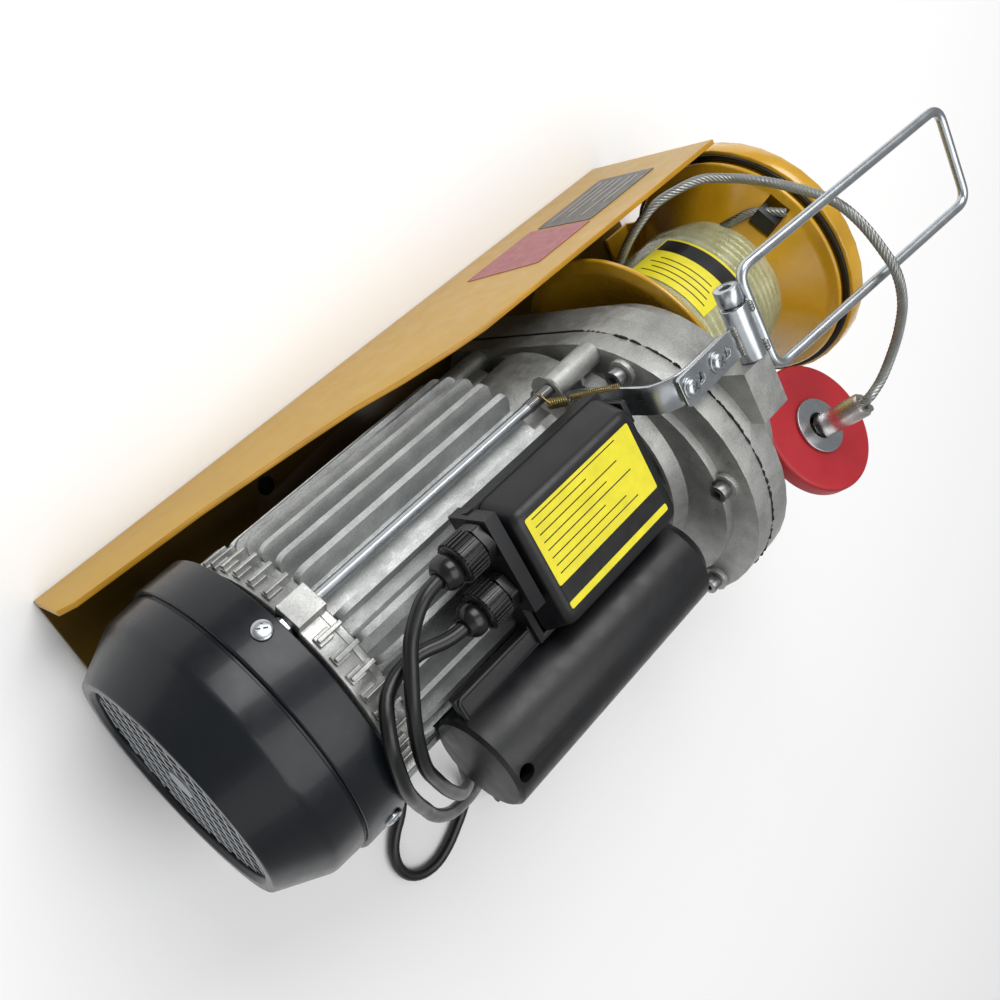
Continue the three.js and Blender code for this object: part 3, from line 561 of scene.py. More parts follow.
# ---- cords: the routes are those of the CAD, in metres ----
CABLE = 0.007
REST = 0.0038  # height of a lead that lies on the floor
COIL_LOW, COIL_HIGH = REST, REST + CABLE
COIL_MEAN = 0.037
INNER, OUTER = COIL_MEAN - CABLE / 2, COIL_MEAN + CABLE / 2
POWER_ROUTE = [
    (0.1, -0.032, 0.17), (0.116, -0.032, 0.17), (0.124, -0.0305, 0.17), (0.132, -0.026, 0.17),
    (0.14, -0.02, 0.171), (0.147, -0.011, 0.172), (0.152, -0.003, 0.172), (0.157, 0.007, 0.171),
    (0.161, 0.02, 0.168), (0.162, 0.037, 0.161), (0.158, 0.052, 0.152), (0.15, 0.074, 0.137),
    (0.141, 0.09, 0.124), (0.129, 0.1, 0.108), (0.117, 0.106, 0.086), (0.104, 0.109, 0.063),
    (0.09, 0.11, 0.043), (0.074, 0.109, 0.025), (0.058, 0.1075, 0.011), (0.042, 0.1065, 0.0048),
    (0.025, 0.1065, REST),
]
PENDANT_ROUTE = [
    (0.1, -0.004, 0.1666), (0.116, -0.004, 0.1666), (0.124, -0.005, 0.1655), (0.136, -0.008, 0.1625),
    (0.149, -0.008, 0.162), (0.16, -0.005, 0.1645), (0.168, 0.002, 0.169), (0.173, 0.012, 0.17),
    (0.175, 0.024, 0.167), (0.175, 0.038, 0.161), (0.171, 0.054, 0.15), (0.166, 0.068, 0.139),
    (0.16, 0.084, 0.128), (0.148, 0.101, 0.114), (0.131, 0.115, 0.098), (0.115, 0.129, 0.079),
    (0.103, 0.147, 0.051), (0.095, 0.163, 0.025), (0.092, 0.177, 0.009), (0.096, 0.187, 0.0043),
    (0.104, 0.193, REST), (0.113, 0.198, REST), (0.124, 0.203, REST), (0.136, 0.2055, REST),
    (0.147, 0.203, REST), (0.1545, 0.196, REST), (0.157, 0.186, REST), (0.154, 0.1755, REST),
    (0.147, 0.167, REST), (0.138, 0.16, REST), (0.128, 0.149, REST), (0.118, 0.136, REST),
    (0.106, 0.121, REST), (0.092, 0.107, REST), (0.076, 0.0995, REST), (0.058, 0.098, REST),
    (0.03, 0.098, REST), (-0.02, 0.098, REST), (-0.076, 0.098, REST),
]


def coil(centre, turns_at):
    """Points round a flat coil, clockwise from its side nearest the hoist. turns_at lists
    (turn, radius, height) stations, and the radius and height change evenly between them."""
    points = []
    for (t0, r0, h0), (t1, r1, h1) in zip(turns_at, turns_at[1:]):
        count = max(2, round((t1 - t0) * 24))
        for k in range(count):
            s = k / count
            a = -TURN / 4 - TURN * (t0 + (t1 - t0) * s)
            r = r0 + (r1 - r0) * s
            place = (centre[0] + r * math.cos(a), centre[1] + r * math.sin(a))
            points.append((*place, h0 + (h1 - h0) * s))
    return points


def lead(name, route, nodes):
    """A round black lead as a curve of one open spline."""
    points = smooth_path(route, 0.004)
    data = bpy.data.curves.new(name, "CURVE")
    data.dimensions = "3D"
    data.bevel_depth = CABLE / 2
    data.bevel_resolution = 6
    data.use_fill_caps = True
    spline = data.splines.new("POLY")
    spline.points.add(len(points) - 1)
    spline.points.foreach_set("co", [c for p in points for c in (*p, 1.0)])
    spline.use_smooth = True
    obj = linked(name, data)
    data.materials.append(RUBBER)
    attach(obj, "frame")
    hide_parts(*nodes)


def coil_stations(climb, leave):
    """Two layers of turns: an outer and an inner one, then an inner and an outer one on top."""
    return [
        (0, OUTER, COIL_LOW), (0.75, OUTER, COIL_LOW), (0.95, INNER, COIL_LOW), (climb, INNER, COIL_LOW),
        (climb + 0.2, INNER, COIL_HIGH), (climb + 0.95, INNER, COIL_HIGH),
        (climb + 1.15, OUTER, COIL_HIGH), (leave, OUTER, COIL_HIGH),
    ]


def make_leads():
    power_coil = coil((-0.005, 0.147), coil_stations(1.6, 3.5))
    power_end = [(-0.005, 0.1875, 0.0109), (0.01, 0.1875, 0.0128), (0.024, 0.1875, 0.0158),
                 (0.036, 0.1875, 0.0163)]
    pendant_coil = coil((-0.105, 0.1385), coil_stations(1.3, 3.0))
    pendant_end = [(-0.105, 0.098, 0.0109), (-0.12, 0.098, 0.0113), (-0.134, 0.098, 0.012),
                   (-0.144, 0.098, 0.012)]
    lead("power_cord", POWER_ROUTE + power_coil + power_end, ("power_lead", "power_coil"))
    lead("pendant_cord", PENDANT_ROUTE + pendant_coil + pendant_end, ("pendant_lead", "pendant_coil"))


make_leads()


# ---- wire rope, stopper and hook ----
ROPE = 6.0
STOPPER = Vector((-155.8, 75.6, 158))
ROPE_WAY = Vector((-0.101, -0.404, 0.909)).normalized()
ROPE_SIDE = (Vector((1, 0, 0)) - ROPE_WAY * ROPE_WAY.x).normalized()
ROPE_ROUTE = [
    (-0.137, -0.054, 0.082), (-0.142, -0.065, 0.092), (-0.156, -0.077, 0.106), (-0.167, -0.079, 0.115),
    (-0.18, -0.078, 0.125), (-0.189, -0.072, 0.136), (-0.19, -0.068, 0.15), (-0.191, -0.062, 0.165),
    (-0.187, -0.056, 0.185), (-0.185, -0.048, 0.2), (-0.184, -0.036, 0.21), (-0.183, -0.019, 0.218),
    (-0.182, -0.006, 0.222), (-0.182, 0.011, 0.22), (-0.181, 0.028, 0.213), (-0.177, 0.043, 0.205),
    (-0.169, 0.054, 0.199),
]
LAY = 21.0  # one turn of the strands


def along_rope(station):
    return STOPPER + ROPE_WAY * station


# Parts drawn about the X axis are set on the rope by this, with X along it.
ON_ROPE = frame_at(STOPPER, ROPE_WAY, ROPE_SIDE, ROPE_WAY.cross(ROPE_SIDE))


def strands(radius, sides, lobes):
    """The section of a wire rope: round strands side by side, one for each lobe."""
    out = []
    for k in range(sides):
        a = 360 * k / sides
        swell = abs(math.cos(math.radians(a * lobes / 2)))
        out.append(polar(radius * (0.82 + 0.18 * swell ** 0.6), a))
    return out


def rope(points, radius=2.8, sides=24, lobes=6):
    section = strands(radius, sides, lobes)
    return sweep(points, lambda i: section, twist=TURN / LAY)


def make_rope_tail(riders):
    route = [tuple(c / MM for c in p) for p in ROPE_ROUTE] + [tuple(along_rope(40)), tuple(along_rope(33))]
    line = smooth_path(route, 1.0)
    tail = piece("rope_tail_strands", rope(line, sides=56, lobes=8), WIRE, stands_for=("rope_tail",),
                 sharp=60)


def make_stopper():
    disc = ring((0, -11), (9, 40), ORIGIN, edge=[0.6, 3, 3, 0.6], steps=6)
    red = piece("stopper_disc_body", moved(disc, ON_ROPE), RED, stands_for=("stopper_disc",))
    flat = ring((0.3, 2.2), (8, 17), ORIGIN, 64, 0.5)
    washer = piece("stopper_washer_ring", moved(flat, ON_ROPE), ZINC, stands_for=("stopper_washer",))
    oval = []
    for station, grow in ((1, 0.86), (2.5, 1), (16, 1), (34.5, 1), (36, 0.86)):
        oval.append([(station, 5.5 * grow * math.cos(a), 1.4 + 7.3 * grow * math.sin(a))
                     for a in np.linspace(0, TURN, 40, endpoint=False)])
    ferrule = piece("rope_ferrule_sleeve", moved(rings_to_mesh(oval), ON_ROPE), FERRULE,
                    stands_for=("rope_ferrule",), sharp=50)
    bush = ring((0.2, -10.6), (7, 8.8), ORIGIN, 64)
    liner = piece("stopper_bush", moved(bush, ON_ROPE), RUBBER)
    offcut = rope([ON_ROPE @ Vector((station, 0, 5.3)) for station in range(32, 39)], 2.1, 40, 8)
    stub = piece("rope_offcut", offcut, WIRE, sharp=60)
    return [red, washer, ferrule, liner, stub]


def make_hook():
    def spot(across, station):
        return ON_ROPE @ Vector((station, across, 0))

    loop = [(-4, -1), (-4, -10), (-8.5, -24), (-8, -32), (0, -37), (8, -32), (8.5, -24), (4, -10), (4, -1)]
    eye = piece("rope_eye_loop", rope(smooth_path([spot(*p) for p in loop], 1.0)), WIRE,
                stands_for=("rope_eye",), sharp=60)
    bend = [(0, -56), (0, -66), (1, -72), (7, -78), (15, -86), (18, -98), (12, -111), (0, -117),
            (-12, -111), (-18, -100), (-17, -91)]
    line = smooth_path([spot(*p) for p in bend], 1.6)
    count = len(line)
    widths = [(0, 4.2), (0.12, 4.2), (0.2, 4.6), (0.5, 5.4), (0.7, 5.3), (0.9, 4.2), (0.985, 2.8), (1, 1.6)]
    share = [w[0] for w in widths]
    radii = [float(np.interp(i / (count - 1), share, [w[1] for w in widths])) for i in range(count)]
    nut = moved(ring((-70, -63.5), (2, 7), ORIGIN, 40, 0.9), ON_ROPE)
    piece("load_hook_forging", together(tube(line, radii, 24), nut), ZINC, body="hook",
          stands_for=("load_hook",), sharp=45)
    return [eye, NODES["hook_eye"]]


# ---- drum ----
DRUM_RIM, DRUM_CORE, DRUM_BORE = 74, 33, 10.4
WINDING = (-121.5, -203.0)
WINDING_TOP = 49.4
TAPER_FROM, TAPER = -182, 0.28  # the winding narrows from this x on, by this much for each millimetre
STEPS_PER_TURN = 120
FILM_GAP, FILM_THICKNESS = 0.4, 0.3
LABEL_RADIUS = 50.4


def make_drum():
    profile = [
        (-103.5, DRUM_RIM), (-106.5, DRUM_RIM), (-107.5, 67), (-125, 36), (-127, DRUM_CORE),
        (-195, DRUM_CORE), (-197, 36), (-218, 67), (-219, DRUM_RIM), (-222, DRUM_RIM), (-222, 67),
        (-200, 30), (-200, DRUM_BORE), (-195, DRUM_BORE), (-195, 30), (-127, 30), (-127, DRUM_BORE),
        (-122, DRUM_BORE), (-122, 30), (-103.5, 66),
    ]
    wedge_slot = radial_box(127, (-230, -195), (50, 68), 15)
    piece("drum_spool", lathe(filleted(profile, 2.2, 5), sides=160), GOLD, body="drum",
          stands_for=("drum",), cuts=[wedge_slot])


def make_winding():
    start, end = WINDING
    pitch = ROPE * 1.02
    turns = (start - end) / pitch
    mean = WINDING_TOP - ROPE / 2
    line = []
    for k in range(round(turns * STEPS_PER_TURN)):
        t = k / STEPS_PER_TURN
        x = start - pitch * t
        line.append(about_axis(mean + min(0, (x - TAPER_FROM) * TAPER), 200 + 360 * t, x))
    core = lathe([(-124, 36), (-119.5, mean), (TAPER_FROM, mean), (-204, mean - 6), (-199, 36)], sides=96)
    piece("winding_turns", together(rope(line, sides=18), core), OILED_WIRE, body="drum",
          stands_for=("rope_winding",), sharp=60)
    low = WINDING_TOP + FILM_GAP
    high = low + FILM_THICKNESS
    wrap = lathe([(-120.5, low), (TAPER_FROM, low), (-203.5, 44), (-203.5, 44 + FILM_THICKNESS),
                  (TAPER_FROM, high), (-120.5, high)], sides=160)
    piece("winding_film", wrap, FILM, body="drum")
    piece("winding_label", curved_label((-131, -170), (109, 172), LABEL_RADIUS), LABEL_YELLOW, body="drum")
    band = curved_label((-157, -168), (111, 170), LABEL_RADIUS + 0.2)
    piece("winding_label_band", band, LABEL_BLACK, body="drum")
    rules = []
    for row in range(4):
        x = -136 - 4.6 * row
        spread = (114 + 2 * row, 166 - 5 * (row % 2))
        rules.append(curved_label((x, x - 0.7), spread, LABEL_RADIUS + 0.2, 0.05))
    piece("winding_label_rules", together(*rules), LABEL_BLACK, body="drum")


def make_gap_shadow_ring():
    """A black ring that paints the shadow in the gap between the drum's outer rim and the end plate."""
    piece("gap_shadow_ring", ring((-225.3, -223.2), (73.6, 77.2), edge=0.5), RUBBER)


def make_dead_end():
    """The rope's other end, from the winding up to its wedge in the drum's outer flange."""
    end_points = [about_axis(r, a, x) for r, a, x in (
        (43, 152, -203), (49, 144, -205.5), (56, 137, -209.5), (62, 128, -213), (67, 121, -216))]
    dead_end = rope(smooth_path(end_points, 1.0), sides=56, lobes=8)
    piece("rope_dead_end", dead_end, WIRE, body="drum", sharp=60)


def curved_label(x, degrees, radius, thickness=0.12):
    """A label that is wrapped round the winding."""
    rings = []
    for a in np.linspace(degrees[0], degrees[1], 28):
        rings.append([about_axis(r, a, s) for s, r in (
            (x[0], radius), (x[1], radius), (x[1], radius + thickness), (x[0], radius + thickness))])
    return rings_to_mesh(rings)


# ---- motor ----
ROD_ANGLES = (45, 135, 225, 315)
FINS_COUNT = 32
FIN_TIP, FIN_HALF, SHELL = 70, 1.75, 57
MOTOR_START, MOTOR_END = 5.6, 150
BULGE = (62, 155)  # y and z of the capacitor's axis
BULGE_ROOM = prism(circle(28, 48, BULGE), "x", (-26, 142))


def fin():
    """One cooling fin, thinner at its tip, with round ends, standing up along Y."""
    outline = filleted(
        [(MOTOR_START, SHELL - 2), (MOTOR_START, FIN_TIP), (MOTOR_END, FIN_TIP), (MOTOR_END, SHELL - 2)],
        [0, 5, 11, 0], 6)
    sides = []
    for way in (-1, 1):
        sides.append([(x, r, way * (FIN_HALF + (FIN_TIP - r) * 0.07)) for x, r in outline])
    return rings_to_mesh(sides)


def make_motor():
    fins = []
    for i in range(FINS_COUNT):
        angle = i * 360 / FINS_COUNT
        if min(abs(angle - a) for a in ROD_ANGLES) < 5:
            continue
        fins.append(moved(fin(), turned_to((0, *AXIS), angle)))
    box_room = box((-20, 92), (-46, 60), (152.6, 200))
    piece("motor_fins", together(*fins), FINS, edge=0.9,
          cuts=[box_room, BULGE_ROOM])
    shell = ring((MOTOR_START - 0.2, MOTOR_END), (50, SHELL))
    piece("motor_shell", shell, FINS, stands_for=("motor_housing",))


SHIELD_TABS = 40


def make_end_shield():
    x0 = MOTOR_END + 0.6
    rims = [
        lathe(filleted([(x0, 14), (x0, 66), (x0 + 5, 66), (x0 + 6, 14)], 1)),
        lathe(filleted([(x0 + 4, 60), (x0 + 4, 66.6), (x0 + 17, 67.6), (x0 + 17, 60)], 1)),
        ring((x0 - 7.6, x0 + 14), (8.8, 18), sides=48, edge=1),
    ]
    for angle in ROD_ANGLES:
        rims.append(radial_box(angle, (x0 + 0.2, x0 + 17), (58, 72.5), 15))
    tabs = []
    for i in range(SHIELD_TABS):
        angle = (i + 0.5) * 360 / SHIELD_TABS
        if min(abs(angle - a) for a in ROD_ANGLES) < 8:
            continue
        tabs.append(radial_box(angle, (x0 + 0.8, x0 + 14.5), (63, 71.4), 2.3))
        tabs.append(radial_box(angle, (x0 + 6.5, x0 + 15), (63, 69.2), 5.6))
    piece("end_shield_casting", together(*rims, *tabs), SHIELD, stands_for=("end_shield",),
          edge=0.5)


COVER_RADIUS, COVER_HOLE, COVER_FACE = 80, 56.4, 239
GRILLE = (235.0, 235.5)  # x of the inner layer of bars
GRILLE_PITCH, GRILLE_BAR, GRILLE_ROWS = 7.8, 1.5, 7


def make_fan_cover():
    profile = filleted([
        (173, 77.4), (173, COVER_RADIUS), (196, COVER_RADIUS), (196, 77.2), (197.4, 77.2), (197.4, 78),
        (214, 77.2), (237.6, 64.3), (COVER_FACE, 63.4), (COVER_FACE, 58.4), (236.8, COVER_HOLE),
        (232.4, COVER_HOLE), (232.4, 62), (213, 74.6), (198.6, 74.8), (194, 77.4),
    ], [0.8, 0.8, 1.4, 0.3, 0.3, 0.8, 2.6, 1.2, 0.9, 0.8, 0.5, 0.4, 1, 3, 2, 2], 6)
    piece("fan_cover_shell", lathe(profile, sides=192), COVER, stands_for=("fan_cover",),
          sharp=40)


def make_grille():
    """Two layers of bars that cross, and a round hub."""
    bars = []
    edge = COVER_HOLE + 0.6
    half = GRILLE_BAR / 2
    for lean, depth in ((40, 0.0), (-34, 0.2)):
        for row in range(-GRILLE_ROWS, GRILLE_ROWS + 1):
            off = row * GRILLE_PITCH
            reach = math.sqrt(edge ** 2 - (abs(off) + half) ** 2)
            bar = box((GRILLE[0] + depth, GRILLE[1] + depth), (-reach, reach), (off - half, off + half))
            bars.append(moved(bar, turned_to((0, *AXIS), lean)))
    hub = prism(circle(8, 40, AXIS), "x", (GRILLE[0] - 0.4, GRILLE[1] + 0.9))
    piece("fan_grille", together(*bars, hub), GRILLE_GREY, edge=0.2)


def pan_head(radius, height):
    """A pan head about the X axis, from 0 up to its height."""
    profile = []
    for k in range(9):
        a = math.radians(90 * k / 8)
        profile.append((height * (0.35 + 0.65 * math.sin(a)), radius * (0.25 + 0.75 * math.cos(a))))
    profile += [(height, 0.02), (0, 0.02), (0, radius)]
    return lathe(profile, ORIGIN, 40)


def screw(name, at, way, radius, height, body, stands_for):
    """A zinc plated cross-head screw whose head stands on a point and faces a way."""
    way = Vector(way).normalized()
    side = way.orthogonal().normalized()
    place = frame_at(at, way, side, way.cross(side))
    depth = (height * 0.45, height + 1)
    long, short = (-radius * 0.55, radius * 0.55), (-radius * 0.11, radius * 0.11)
    cross = [moved(box(depth, *arms), place) for arms in ((long, short), (short, long))]
    piece(name, moved(pan_head(radius, height), place), ZINC, body=body, stands_for=(stands_for,),
          cuts=cross, sharp=40)


def make_cover_screws():
    for i, angle in enumerate(ROD_ANGLES):
        at = about_axis(COVER_RADIUS + 0.1, angle, 181)
        way = (0, *polar(1, angle))
        screw(f"cover_screw_head_{i + 1}", at, way, 4.9, 2.1, "frame", f"cover_screw_{i + 1}")


# ---- gearbox ----
GEARBOX, GEARBOX_RADIUS, GEARBOX_FOOT = (32, 114), 85, 3.4
SEAM_X, SEAM_HEART = -60, 100  # the flash points away from a line at this height
LUG_AT, ROD_AT = 61, 66  # radii on which the CAD lugs and the tie rods stand
BOSS = (-47.4, -13.8)
THREAD_START, THREAD_PITCH, THREAD_TURNS = -12.6, 1.05, 16


def make_seam():
    """The rough line of flash where the two castings meet, round the gearbox."""
    y0 = GEARBOX[0] - GEARBOX_RADIUS
    outline = [(66, GEARBOX_FOOT)]
    outline += [polar(GEARBOX_RADIUS, a, GEARBOX) for a in np.linspace(-48, 180, 200)]
    outline += [(y0, GEARBOX_FOOT + 12), (y0 + 12, GEARBOX_FOOT)]
    jag = rng.uniform(-0.5, 0.9, len(outline))
    rings = []
    for k, (y, z) in enumerate(outline):
        way = Vector((0, y - GEARBOX[0], z - SEAM_HEART)).normalized()
        width = 0.55 + 0.5 * abs(jag[k - 1])
        root, crest = Vector((0, y, z)) - way * 1.6, Vector((0, y, z)) + way * jag[k]
        rings.append([(SEAM_X + s, p.y, p.z) for s, p in (
            (-width, root), (width, root), (width * 0.7, crest), (-width * 0.7, crest))])
    piece("casting_seam", rings_to_mesh(rings, closed=True), SEAM, sharp=20)


def make_gearbox_cover():
    """The cover, with slim bosses at the tie rods, and the threaded ends of the rods."""
    cutters, bosses, threads = [], [], []
    boss = filleted([(BOSS[0], 3.8), (BOSS[0], 7), (BOSS[1], 6.8), (BOSS[1], 3.8)], [0.2, 0.2, 1.2, 0.4])
    for angle in ROD_ANGLES:
        rod = polar(ROD_AT, angle, AXIS)
        cutters.append(prism(circle(11.6, 40, polar(LUG_AT, angle, AXIS)), "x", (BOSS[1] + 0.2, 5.3)))
        bosses.append(lathe(boss, rod, 48))
        for k in range(THREAD_TURNS):
            x = THREAD_START + THREAD_PITCH * k
            threads.append(lathe([(x, 3), (x + 0.2, 3.35), (x + 0.6, 3.35), (x + 0.8, 3)], rod, 32))
    refined("gearbox_cover_casting", "gearbox_cover", CAST, 1.0, cuts=cutters, segments=3)
    piece("rod_bosses", together(*bosses), CAST, cuts=[BULGE_ROOM], sharp=45)
    piece("rod_threads", together(*threads), STEEL, sharp=60)


# ---- control box ----
LID_BOTTOM, LID_TOP, LID_EDGE = 165, 184, 4.0
LABEL_X = (-6, 69.6)
GLANDS = {"power": (-32, 170), "pendant": (-4, 166.6)}
GLAND_BORE, GLAND_RIBS = 3.9, 30


def lid_label(name, y, finish):
    piece(name, prism(rectangle(LABEL_X, y, 1.2), "z", (LID_TOP + 0.05, LID_TOP + 0.25)), finish)


def make_box_labels():
    lid_label("lid_label", (-31.8, 6), LABEL_YELLOW)
    lid_label("lid_label_band", (6.2, 15.6), LABEL_BLACK)
    lid_label("lid_label_stripe", (15.8, 19.6), LABEL_YELLOW)
    lines = []
    for row, reach in enumerate((0.92, 0.55, 0.86, 0.7, 0.94, 0.6, 0.8, 0.9)):
        y = -30 + row * 4.4
        lines.append(box((66 - 66 * reach, 66), (y, y + 0.6), (LID_TOP + 0.26, LID_TOP + 0.3)))
    piece("lid_label_rules", together(*lines), LABEL_BLACK)


def make_control_box():
    """The tray with the capacitor's bulge, a drain hole in it, and the lid, whose sides lean in."""
    outward = turned_to((131, *BULGE), 84) @ turned_to((0, 0, 0), 90, "Z")
    hole = moved(prism(circle(4.6, 32), "x", (20, 34)), outward)
    refined("control_box_tray", "control_box_base", BLACK, 2.2, cuts=[hole])
    rings = []
    levels = [(LID_BOTTOM, 0), (172, 0)]
    for a in np.linspace(0, math.pi / 2, 8):
        levels.append((LID_TOP - LID_EDGE * (1 - math.sin(a)), LID_EDGE * (1 - math.cos(a))))
    for z, inset in levels:
        t = (z - LID_BOTTOM) / (LID_TOP - LID_BOTTOM)
        x0, x1 = -14 + 2 * t + inset, 77.4 - 3.4 * t - inset
        y0, y1 = -43 + 7 * t + inset, 33 - 6 * t - inset
        rings.append([(x, y, z) for x, y in rectangle((x0, x1), (y0, y1), 7)])
    over_bulge = prism(circle(27.3, 64, BULGE), "x", (-30, 90))
    piece("control_box_cap", rings_to_mesh(rings), BLACK, stands_for=("control_box_lid",),
          cuts=[over_bulge], sharp=40)
    rim = filleted([(83, 25.2, 161.2), (132.6, 25.2, 161.2), (132.6, 37.5, 161.2)], 2.5, closed=False)
    piece("control_box_rim", tube(rim, 1.2, 12), BLACK, sharp=60)


def make_glands():
    for name, (y, z) in GLANDS.items():
        hexagon = filleted([polar(11, 60 * k + 30, (y, z)) for k in range(6)], 1.2)
        cap = filleted([(90.8, GLAND_BORE), (90.8, 10.2), (102.6, 9.9), (104, 7), (104, GLAND_BORE)],
                       [0.3, 0.8, 1.2, 0.8, 0.3], 5)
        claw = filleted([(103, GLAND_BORE), (103.6, 6.6), (106, 8.7), (110.5, 8.4), (113.5, 5.6),
                         (113.5, GLAND_BORE)], [0.3, 1.5, 2.4, 2.4, 1.2, 0.3], 6)
        parts = [prism(hexagon, "x", (85.4, 90.5)), lathe(cap, (y, z), 72), lathe(claw, (y, z), 64)]
        rib = box((91.4, 102.4), (9.4, 10.9), (-0.55, 0.55))
        for k in range(GLAND_RIBS):
            parts.append(moved(rib, turned_to((0, y, z), 360 * k / GLAND_RIBS)))
        parts.append(ring((78.4, 86), (GLAND_BORE, 6.5), (y, z), 40))
        piece(f"{name}_gland_nut", together(*parts), GLAND, stands_for=(f"{name}_gland",),
              edge=0.25)


# ---- limit lever ----
PIVOT = (-84, 200)
BAIL_Y = (-60.4, -4.8)
BAIL_TILT = math.radians(6.2)
BAIL_LENGTH = 171
BAIL_RADIUS = 2.75  # of its wire
SLEEVE_Y = (-46.6, -17.4)
STRIP_Y = (-38.5, -22.5)
STRIP_MIDDLE = -30.5
SCREW_X = (-59, -37)


def make_lever():
    near = (PIVOT[0] - 8.5, PIVOT[1] + 3.3)
    far = (near[0] - BAIL_LENGTH * math.cos(BAIL_TILT), near[1] + BAIL_LENGTH * math.sin(BAIL_TILT))
    corners = [(near[0], BAIL_Y[0], near[1]), (far[0], BAIL_Y[0], far[1]),
               (far[0], BAIL_Y[1], far[1]), (near[0], BAIL_Y[1], near[1])]
    wire = tube(filleted(corners, 9, 10), BAIL_RADIUS, 20, closed=True)
    piece("bail_wire", wire, ZINC, body="limit_lever", stands_for=("limit_bail",),
          sharp=50)
    sleeve = moved(ring(SLEEVE_Y, (4.4, 7), ORIGIN, 64, 0.5), turned_to((PIVOT[0], 0, PIVOT[1]), 90, "Z"))
    piece("pivot_sleeve", sleeve, ZINC, body="limit_lever")
    plate_top = PIVOT[1] + 0.6
    slot = prism(filleted(rectangle((-11, 3), (-2.6, 2.6)), 2.6, 6), "z", (plate_top - 4, plate_top + 4))
    slots = [moved(slot, Matrix.Translation((x, STRIP_MIDDLE, 0))) for x in SCREW_X]
    plate = prism(rectangle((-80, -31), STRIP_Y, 2.5), "z", (plate_top - 2, plate_top))
    piece("lever_plate", plate, ZINC, body="limit_lever", cuts=slots, edge=0.3)
    beads = []
    for y in np.arange(STRIP_Y[0] + 1, STRIP_Y[1], 1.6):
        size = 1.5 + 0.3 * math.sin(y * 3.1)
        beads.append(bead((-77.6, y, plate_top + 0.6), size))
    for y in (-44, -42.4, -40.8, -22, -20.4, -18.8):
        beads.append(bead((-90.4, y, 205.2), 1.5))
    piece("weld_beads", together(*beads), WELD, body="limit_lever", sharp=60)
    for i, x in enumerate(SCREW_X):
        name = f"strip_screw_{i + 1}"
        washer = moved(ring((0, 1), (2.6, 5.6), ORIGIN, 48, 0.3),
                       turned_to((x, STRIP_MIDDLE, plate_top + 0.1), -90, "Y"))
        piece(name + "_washer", washer, ZINC, body="limit_lever")
        at = (x, STRIP_MIDDLE, plate_top + 1.1)
        screw(name + "_head", at, (0, 0, 1), 4.4, 2.2, "limit_lever", name)


def bead(at, size):
    """A small round blob of weld metal."""
    rings = []
    for k in range(1, 8):
        a = math.pi * k / 8
        r, s = size * math.sin(a), size * math.cos(a)
        rings.append([(at[0] + r * math.cos(b), at[1] + s, at[2] + 0.8 * r * math.sin(b))
                      for b in np.linspace(0, TURN, 14, endpoint=False)])
    return rings_to_mesh(rings)


def helix(start, end, radius, turns, wire):
    """A coil spring between two points."""
    start, end = Vector(start), Vector(end)
    way = (end - start).normalized()
    side = way.orthogonal().normalized()
    other = way.cross(side)
    line = []
    for k in range(round(turns * 16) + 1):
        a = TURN * k / 16
        t = k / (turns * 16)
        line.append(start.lerp(end, t) + (side * math.cos(a) + other * math.sin(a)) * radius)
    return tube(line, wire, 8)


def make_spring():
    """A stout coil from the tie rod to the strip, and a finer one on along the strip's edge."""
    stout = helix((-4.5, -43.4, 137), (-13, -39.6, 140.4), 2.5, 8, 0.5)
    fine = helix((-15, -40.6, 142), (-23.6, -41, 170), 1.3, 24, 0.3)
    hook = [(-4, -50, 131), (-4, -49, 135), (-4.2, -45.5, 138), (-4.5, -43.4, 139.4)]
    tie = [(-13, -39.6, 142.8), (-14, -40.2, 142.6), (-15, -40.6, 143.2)]
    parts = [stout, fine, tube(smooth_path(hook, 0.5), 0.5, 8), tube(smooth_path(tie, 0.5), 0.4, 8)]
    piece("lever_spring_coils", together(*parts), BRASS, stands_for=("lever_spring",), sharp=60)


# ---- frame labels ----
FLANGE_FACE = -85
HOLES_X, HOLES_Y = (-175, 93), (-57, 56)


def make_frame_labels():
    """Plain stickers on the flange, with ruled lines in place of text."""
    face = (FLANGE_FACE - 0.3, FLANGE_FACE - 0.05)
    dark = filleted([(30, -198), (30, -134), (78, -134), (78, -198)], 2)
    red = filleted([(26, -132), (26, -72), (80, -84), (80, -132)], 2)
    piece("frame_label_dark", prism(dark, "y", face), LABEL_BLACK)
    piece("frame_label_red", prism(red, "y", face), LABEL_RED)
    rules = []
    for z, reach in ((36, 1), (42, 0.8), (48, 0.95), (54, 0.6), (62, 1), (68, 0.7)):
        line = rectangle((z, z + 1.6), (-192, -192 + 50 * reach))
        rules.append(prism(line, "y", (FLANGE_FACE - 0.45, FLANGE_FACE - 0.35)))
    piece("frame_label_rules", together(*rules), LABEL_GREY)


def make_hole_shade_discs():
    # black discs in the mounting holes: painted shade inside the holes
    shade_discs = [prism(circle(5.2, 32, (x, y)), "z", (0.3, 2.6)) for x in HOLES_X for y in HOLES_Y]
    piece("mounting_hole_shade_discs", together(*shade_discs), RUBBER, edge=0.3)


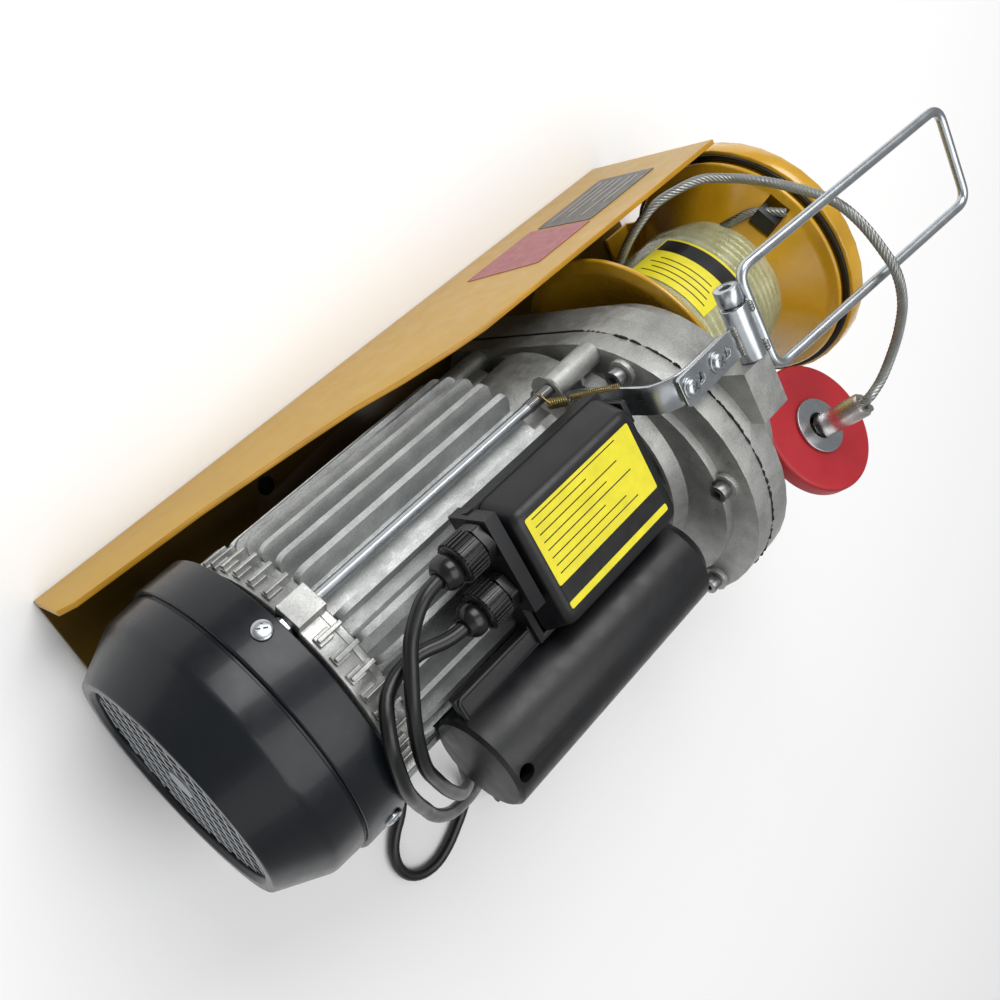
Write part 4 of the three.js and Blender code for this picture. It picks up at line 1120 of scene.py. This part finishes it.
# ---- CAD nodes that stay ----
def keep_cad():
    keep(["frame_plate"], YELLOW, 0.6)
    keep(["end_plate"], GOLD, 0.8)
    keep(["gearbox_housing"], CAST, 1.2, 3)
    keep([name for name in NODES if name.startswith("gearbox_screw")], STEEL, 0.4)
    keep([name for name in NODES if name.startswith("tie_rod")], ZINC, 0.3)
    keep(["end_bearing", "output_gear", "countershaft_gear", "motor_shaft", "drum_shaft"], STEEL, 0.3)
    keep(["rotor"], DARK_STEEL, 0.5)
    keep(["stator"], WINDINGS, 0.8)
    keep(["cooling_fan"], BLACK, 0.3)
    keep(["rope_wedge", "limit_switch"], BLACK, 0.5)
    keep(["start_capacitor"], FINS, 0.8)
    keep(["limit_strip"], ZINC, 0.3)
    keep(["pivot_bolt"], ZINC, 0.5)
    keep(["hook_eye", "hook_latch"], ZINC, 0.5)
    keep(["power_plug"], BLACK, 1.0, 3)
    keep(["pendant_body"], BLACK, 2.4, 4)
    keep(["up_button", "down_button"], KEYS, 0.8, 3)


# ---- studio ----
FLOOR_HALF, FLOOR_Z = 3.0, -0.0004  # metres


def make_floor():
    mesh = bpy.data.meshes.new("floor")
    sides = (-FLOOR_HALF, FLOOR_HALF)
    mesh.from_pydata([(x, y, FLOOR_Z) for x, y in rectangle(sides, sides)], [], [(0, 1, 2, 3)])
    floor = linked("floor", mesh)
    look = Finish("floor_white", rough=0.9)
    look.shader.inputs["Base Color"].default_value = (0.96, 0.96, 0.96, 1)
    mesh.materials.append(look.material)


LIT_POINT = (0, 0, 0.1)  # all the lights face it


def area_light(name, at, size, power):
    data = bpy.data.lights.new(name, "AREA")
    data.shape = "RECTANGLE"
    data.size, data.size_y = size
    data.energy = power
    light = linked(name, data)
    light.location = at
    light.rotation_euler = (Vector(LIT_POINT) - Vector(at)).to_track_quat("-Z", "Y").to_euler()


def make_studio():
    make_floor()
    world = bpy.data.worlds.new("studio")
    world.use_nodes = True
    sky = world.node_tree.nodes["Background"]
    sky.inputs["Color"].default_value = (1, 1, 1, 1)
    sky.inputs["Strength"].default_value = 0.3
    bpy.context.scene.world = world
    bpy.context.scene.view_settings.view_transform = "Standard"
    area_light("key", (-0.5, -1.3, 1.3), (1.4, 1.0), 23)
    area_light("top", (0.1, 0.3, 2.0), (1.6, 1.6), 19)
    area_light("rim", (1.2, 0.5, 0.9), (0.8, 1.2), 2)


make_rope_tail(make_stopper() + make_hook())
make_drum()
make_winding()
make_gap_shadow_ring()
make_dead_end()
make_motor()
make_end_shield()
make_fan_cover()
make_grille()
make_cover_screws()
make_gearbox_cover()
make_seam()
make_control_box()
make_box_labels()
make_glands()
make_lever()
make_spring()
make_frame_labels()
make_hole_shade_discs()
keep_cad()
make_studio()
